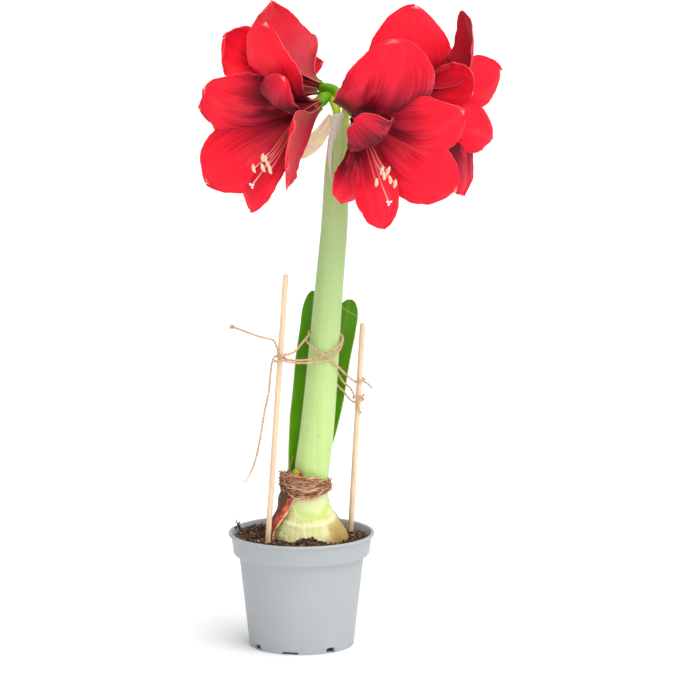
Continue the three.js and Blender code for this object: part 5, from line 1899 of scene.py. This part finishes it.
def twine_strands():
    """The routes of the strands, windings and short ends, from knot to knot."""
    left, right, off = "stick_left", "stick_right", TWINE_OFF
    high = [
        on_stick(left, 285, 266.5), (-7, -27.5, 268.5), (1, -16, 275), on_scape(205, 281, off),
        on_scape(150, 282, off), on_scape(90, 281, off), on_scape(40, 279.5, off),
        on_scape(2, 277, off), on_scape(-32, 271.5, off), on_scape(-65, 267, off),
        on_scape(-100, 263, off), (8, -18.5, 261), (-4, -24.5, 261), on_stick(left, 340, 262.9),
    ]
    cross = [
        on_stick(left, 290, 262.3), (-8, -29, 260), (3, -22.5, 258.4), on_scape(-92, 258.6, off + 0.5),
        on_scape(-62, 261, off), on_scape(-30, 267.5, off), on_scape(5, 276, off),
        on_scape(60, 279, off), on_scape(120, 279, off), on_scape(180, 275.5, off),
        on_scape(222, 271.5, off), on_scape(255, 267.5, off + 0.3), on_scape(290, 261, off),
        on_scape(328, 252.5, off), (40, 2, 243), (46.5, 12, 236), on_stick(right, 250, 234.3),
    ]
    low = [
        on_scape(135, 279, off), on_scape(112, 278.4, off), on_scape(75, 262, off),
        on_scape(40, 246, off), (36.5, 11.5, 236), (44, 15.5, 228), on_stick(right, 230, 219.8),
    ]
    lower = [
        on_scape(90, 268.5, off), on_scape(62, 247, off), on_scape(35, 234, off),
        (37.5, 14, 226), (43.5, 16.5, 218), on_stick(right, 220, 215.7),
    ]
    windings = [
        winding(left, 180, 730, 261, 267.5), winding(right, 170, 480, 233.5, 236.5),
        winding(right, 200, 750, 215.5, 221.5),
    ]
    ends = [
        [on_stick(right, 300, 234.8), (58.5, 19.5, 232.5), (63, 18.5, 228)],
        [on_stick(right, 250, 216), (51.4, 17, 209), (53, 17.4, 205.5)],
        [on_stick(left, 205, 265.5), (-23.7, -30.8, 264.7)],
        [on_stick(left, 240, 266), on_stick(left, 240, 269), (-20.4, -32.5, 272.9)],
    ]
    return [high, cross, low, lower, *windings, *ends]


class AMARYLLIS_OT_twine_tie(bpy.types.Operator):
    """Add the twine round the stem and its knots on both sticks"""

    bl_idname = "amaryllis.twine_tie"
    bl_label = "Twine tie"

    def execute(self, context):
        settings = context.scene.amaryllis_tie
        draw = random.Random(TIE_SEED)
        bm = bmesh.new()
        for points in twine_strands():
            rows = add_rope(bm, points, settings.diameter / 2 / MM)
            add_fuzz(bm, rows, settings.fuzz, draw, 3.6)
        new_piece("twine_binding", bm, [jute_finish(tuple(settings.jute))], "twine_tie")
        return {"FINISHED"}


# ---- panel and the whole plant

OPERATORS = (
    AMARYLLIS_OT_stage, AMARYLLIS_OT_twine_tails, AMARYLLIS_OT_pot, AMARYLLIS_OT_soil, AMARYLLIS_OT_bulb,
    AMARYLLIS_OT_scape, AMARYLLIS_OT_leaves, AMARYLLIS_OT_spathe, AMARYLLIS_OT_blooms, AMARYLLIS_OT_stamens,
    AMARYLLIS_OT_sticks, AMARYLLIS_OT_twine_tie,
)
SETTINGS = {
    "amaryllis_pot": AmaryllisPotSettings,
    "amaryllis_plant": AmaryllisPlantSettings,
    "amaryllis_tie": AmaryllisTieSettings,
}


class AMARYLLIS_PT_panel(bpy.types.Panel):
    """Lists the settings and the pieces"""

    bl_label = "Amaryllis"
    bl_idname = "AMARYLLIS_PT_panel"
    bl_space_type = "VIEW_3D"
    bl_region_type = "UI"
    bl_category = "Amaryllis"

    def draw(self, context):
        for name, kind in SETTINGS.items():
            box = self.layout.box()
            for field in kind.__annotations__:
                box.prop(getattr(context.scene, name), field)
        for operator in OPERATORS:
            self.layout.operator(operator.bl_idname)


def register():
    for kind in (*SETTINGS.values(), *OPERATORS, AMARYLLIS_PT_panel):
        bpy.utils.register_class(kind)
    for name, kind in SETTINGS.items():
        setattr(bpy.types.Scene, name, PointerProperty(type=kind))


def unregister():
    for name in SETTINGS:
        delattr(bpy.types.Scene, name)
    for kind in reversed((*SETTINGS.values(), *OPERATORS, AMARYLLIS_PT_panel)):
        bpy.utils.unregister_class(kind)


def main():
    register()
    for operator in OPERATORS:
        group, name = operator.bl_idname.split(".")
        getattr(getattr(bpy.ops, group), name)()


if __name__ == "__main__":
    main()
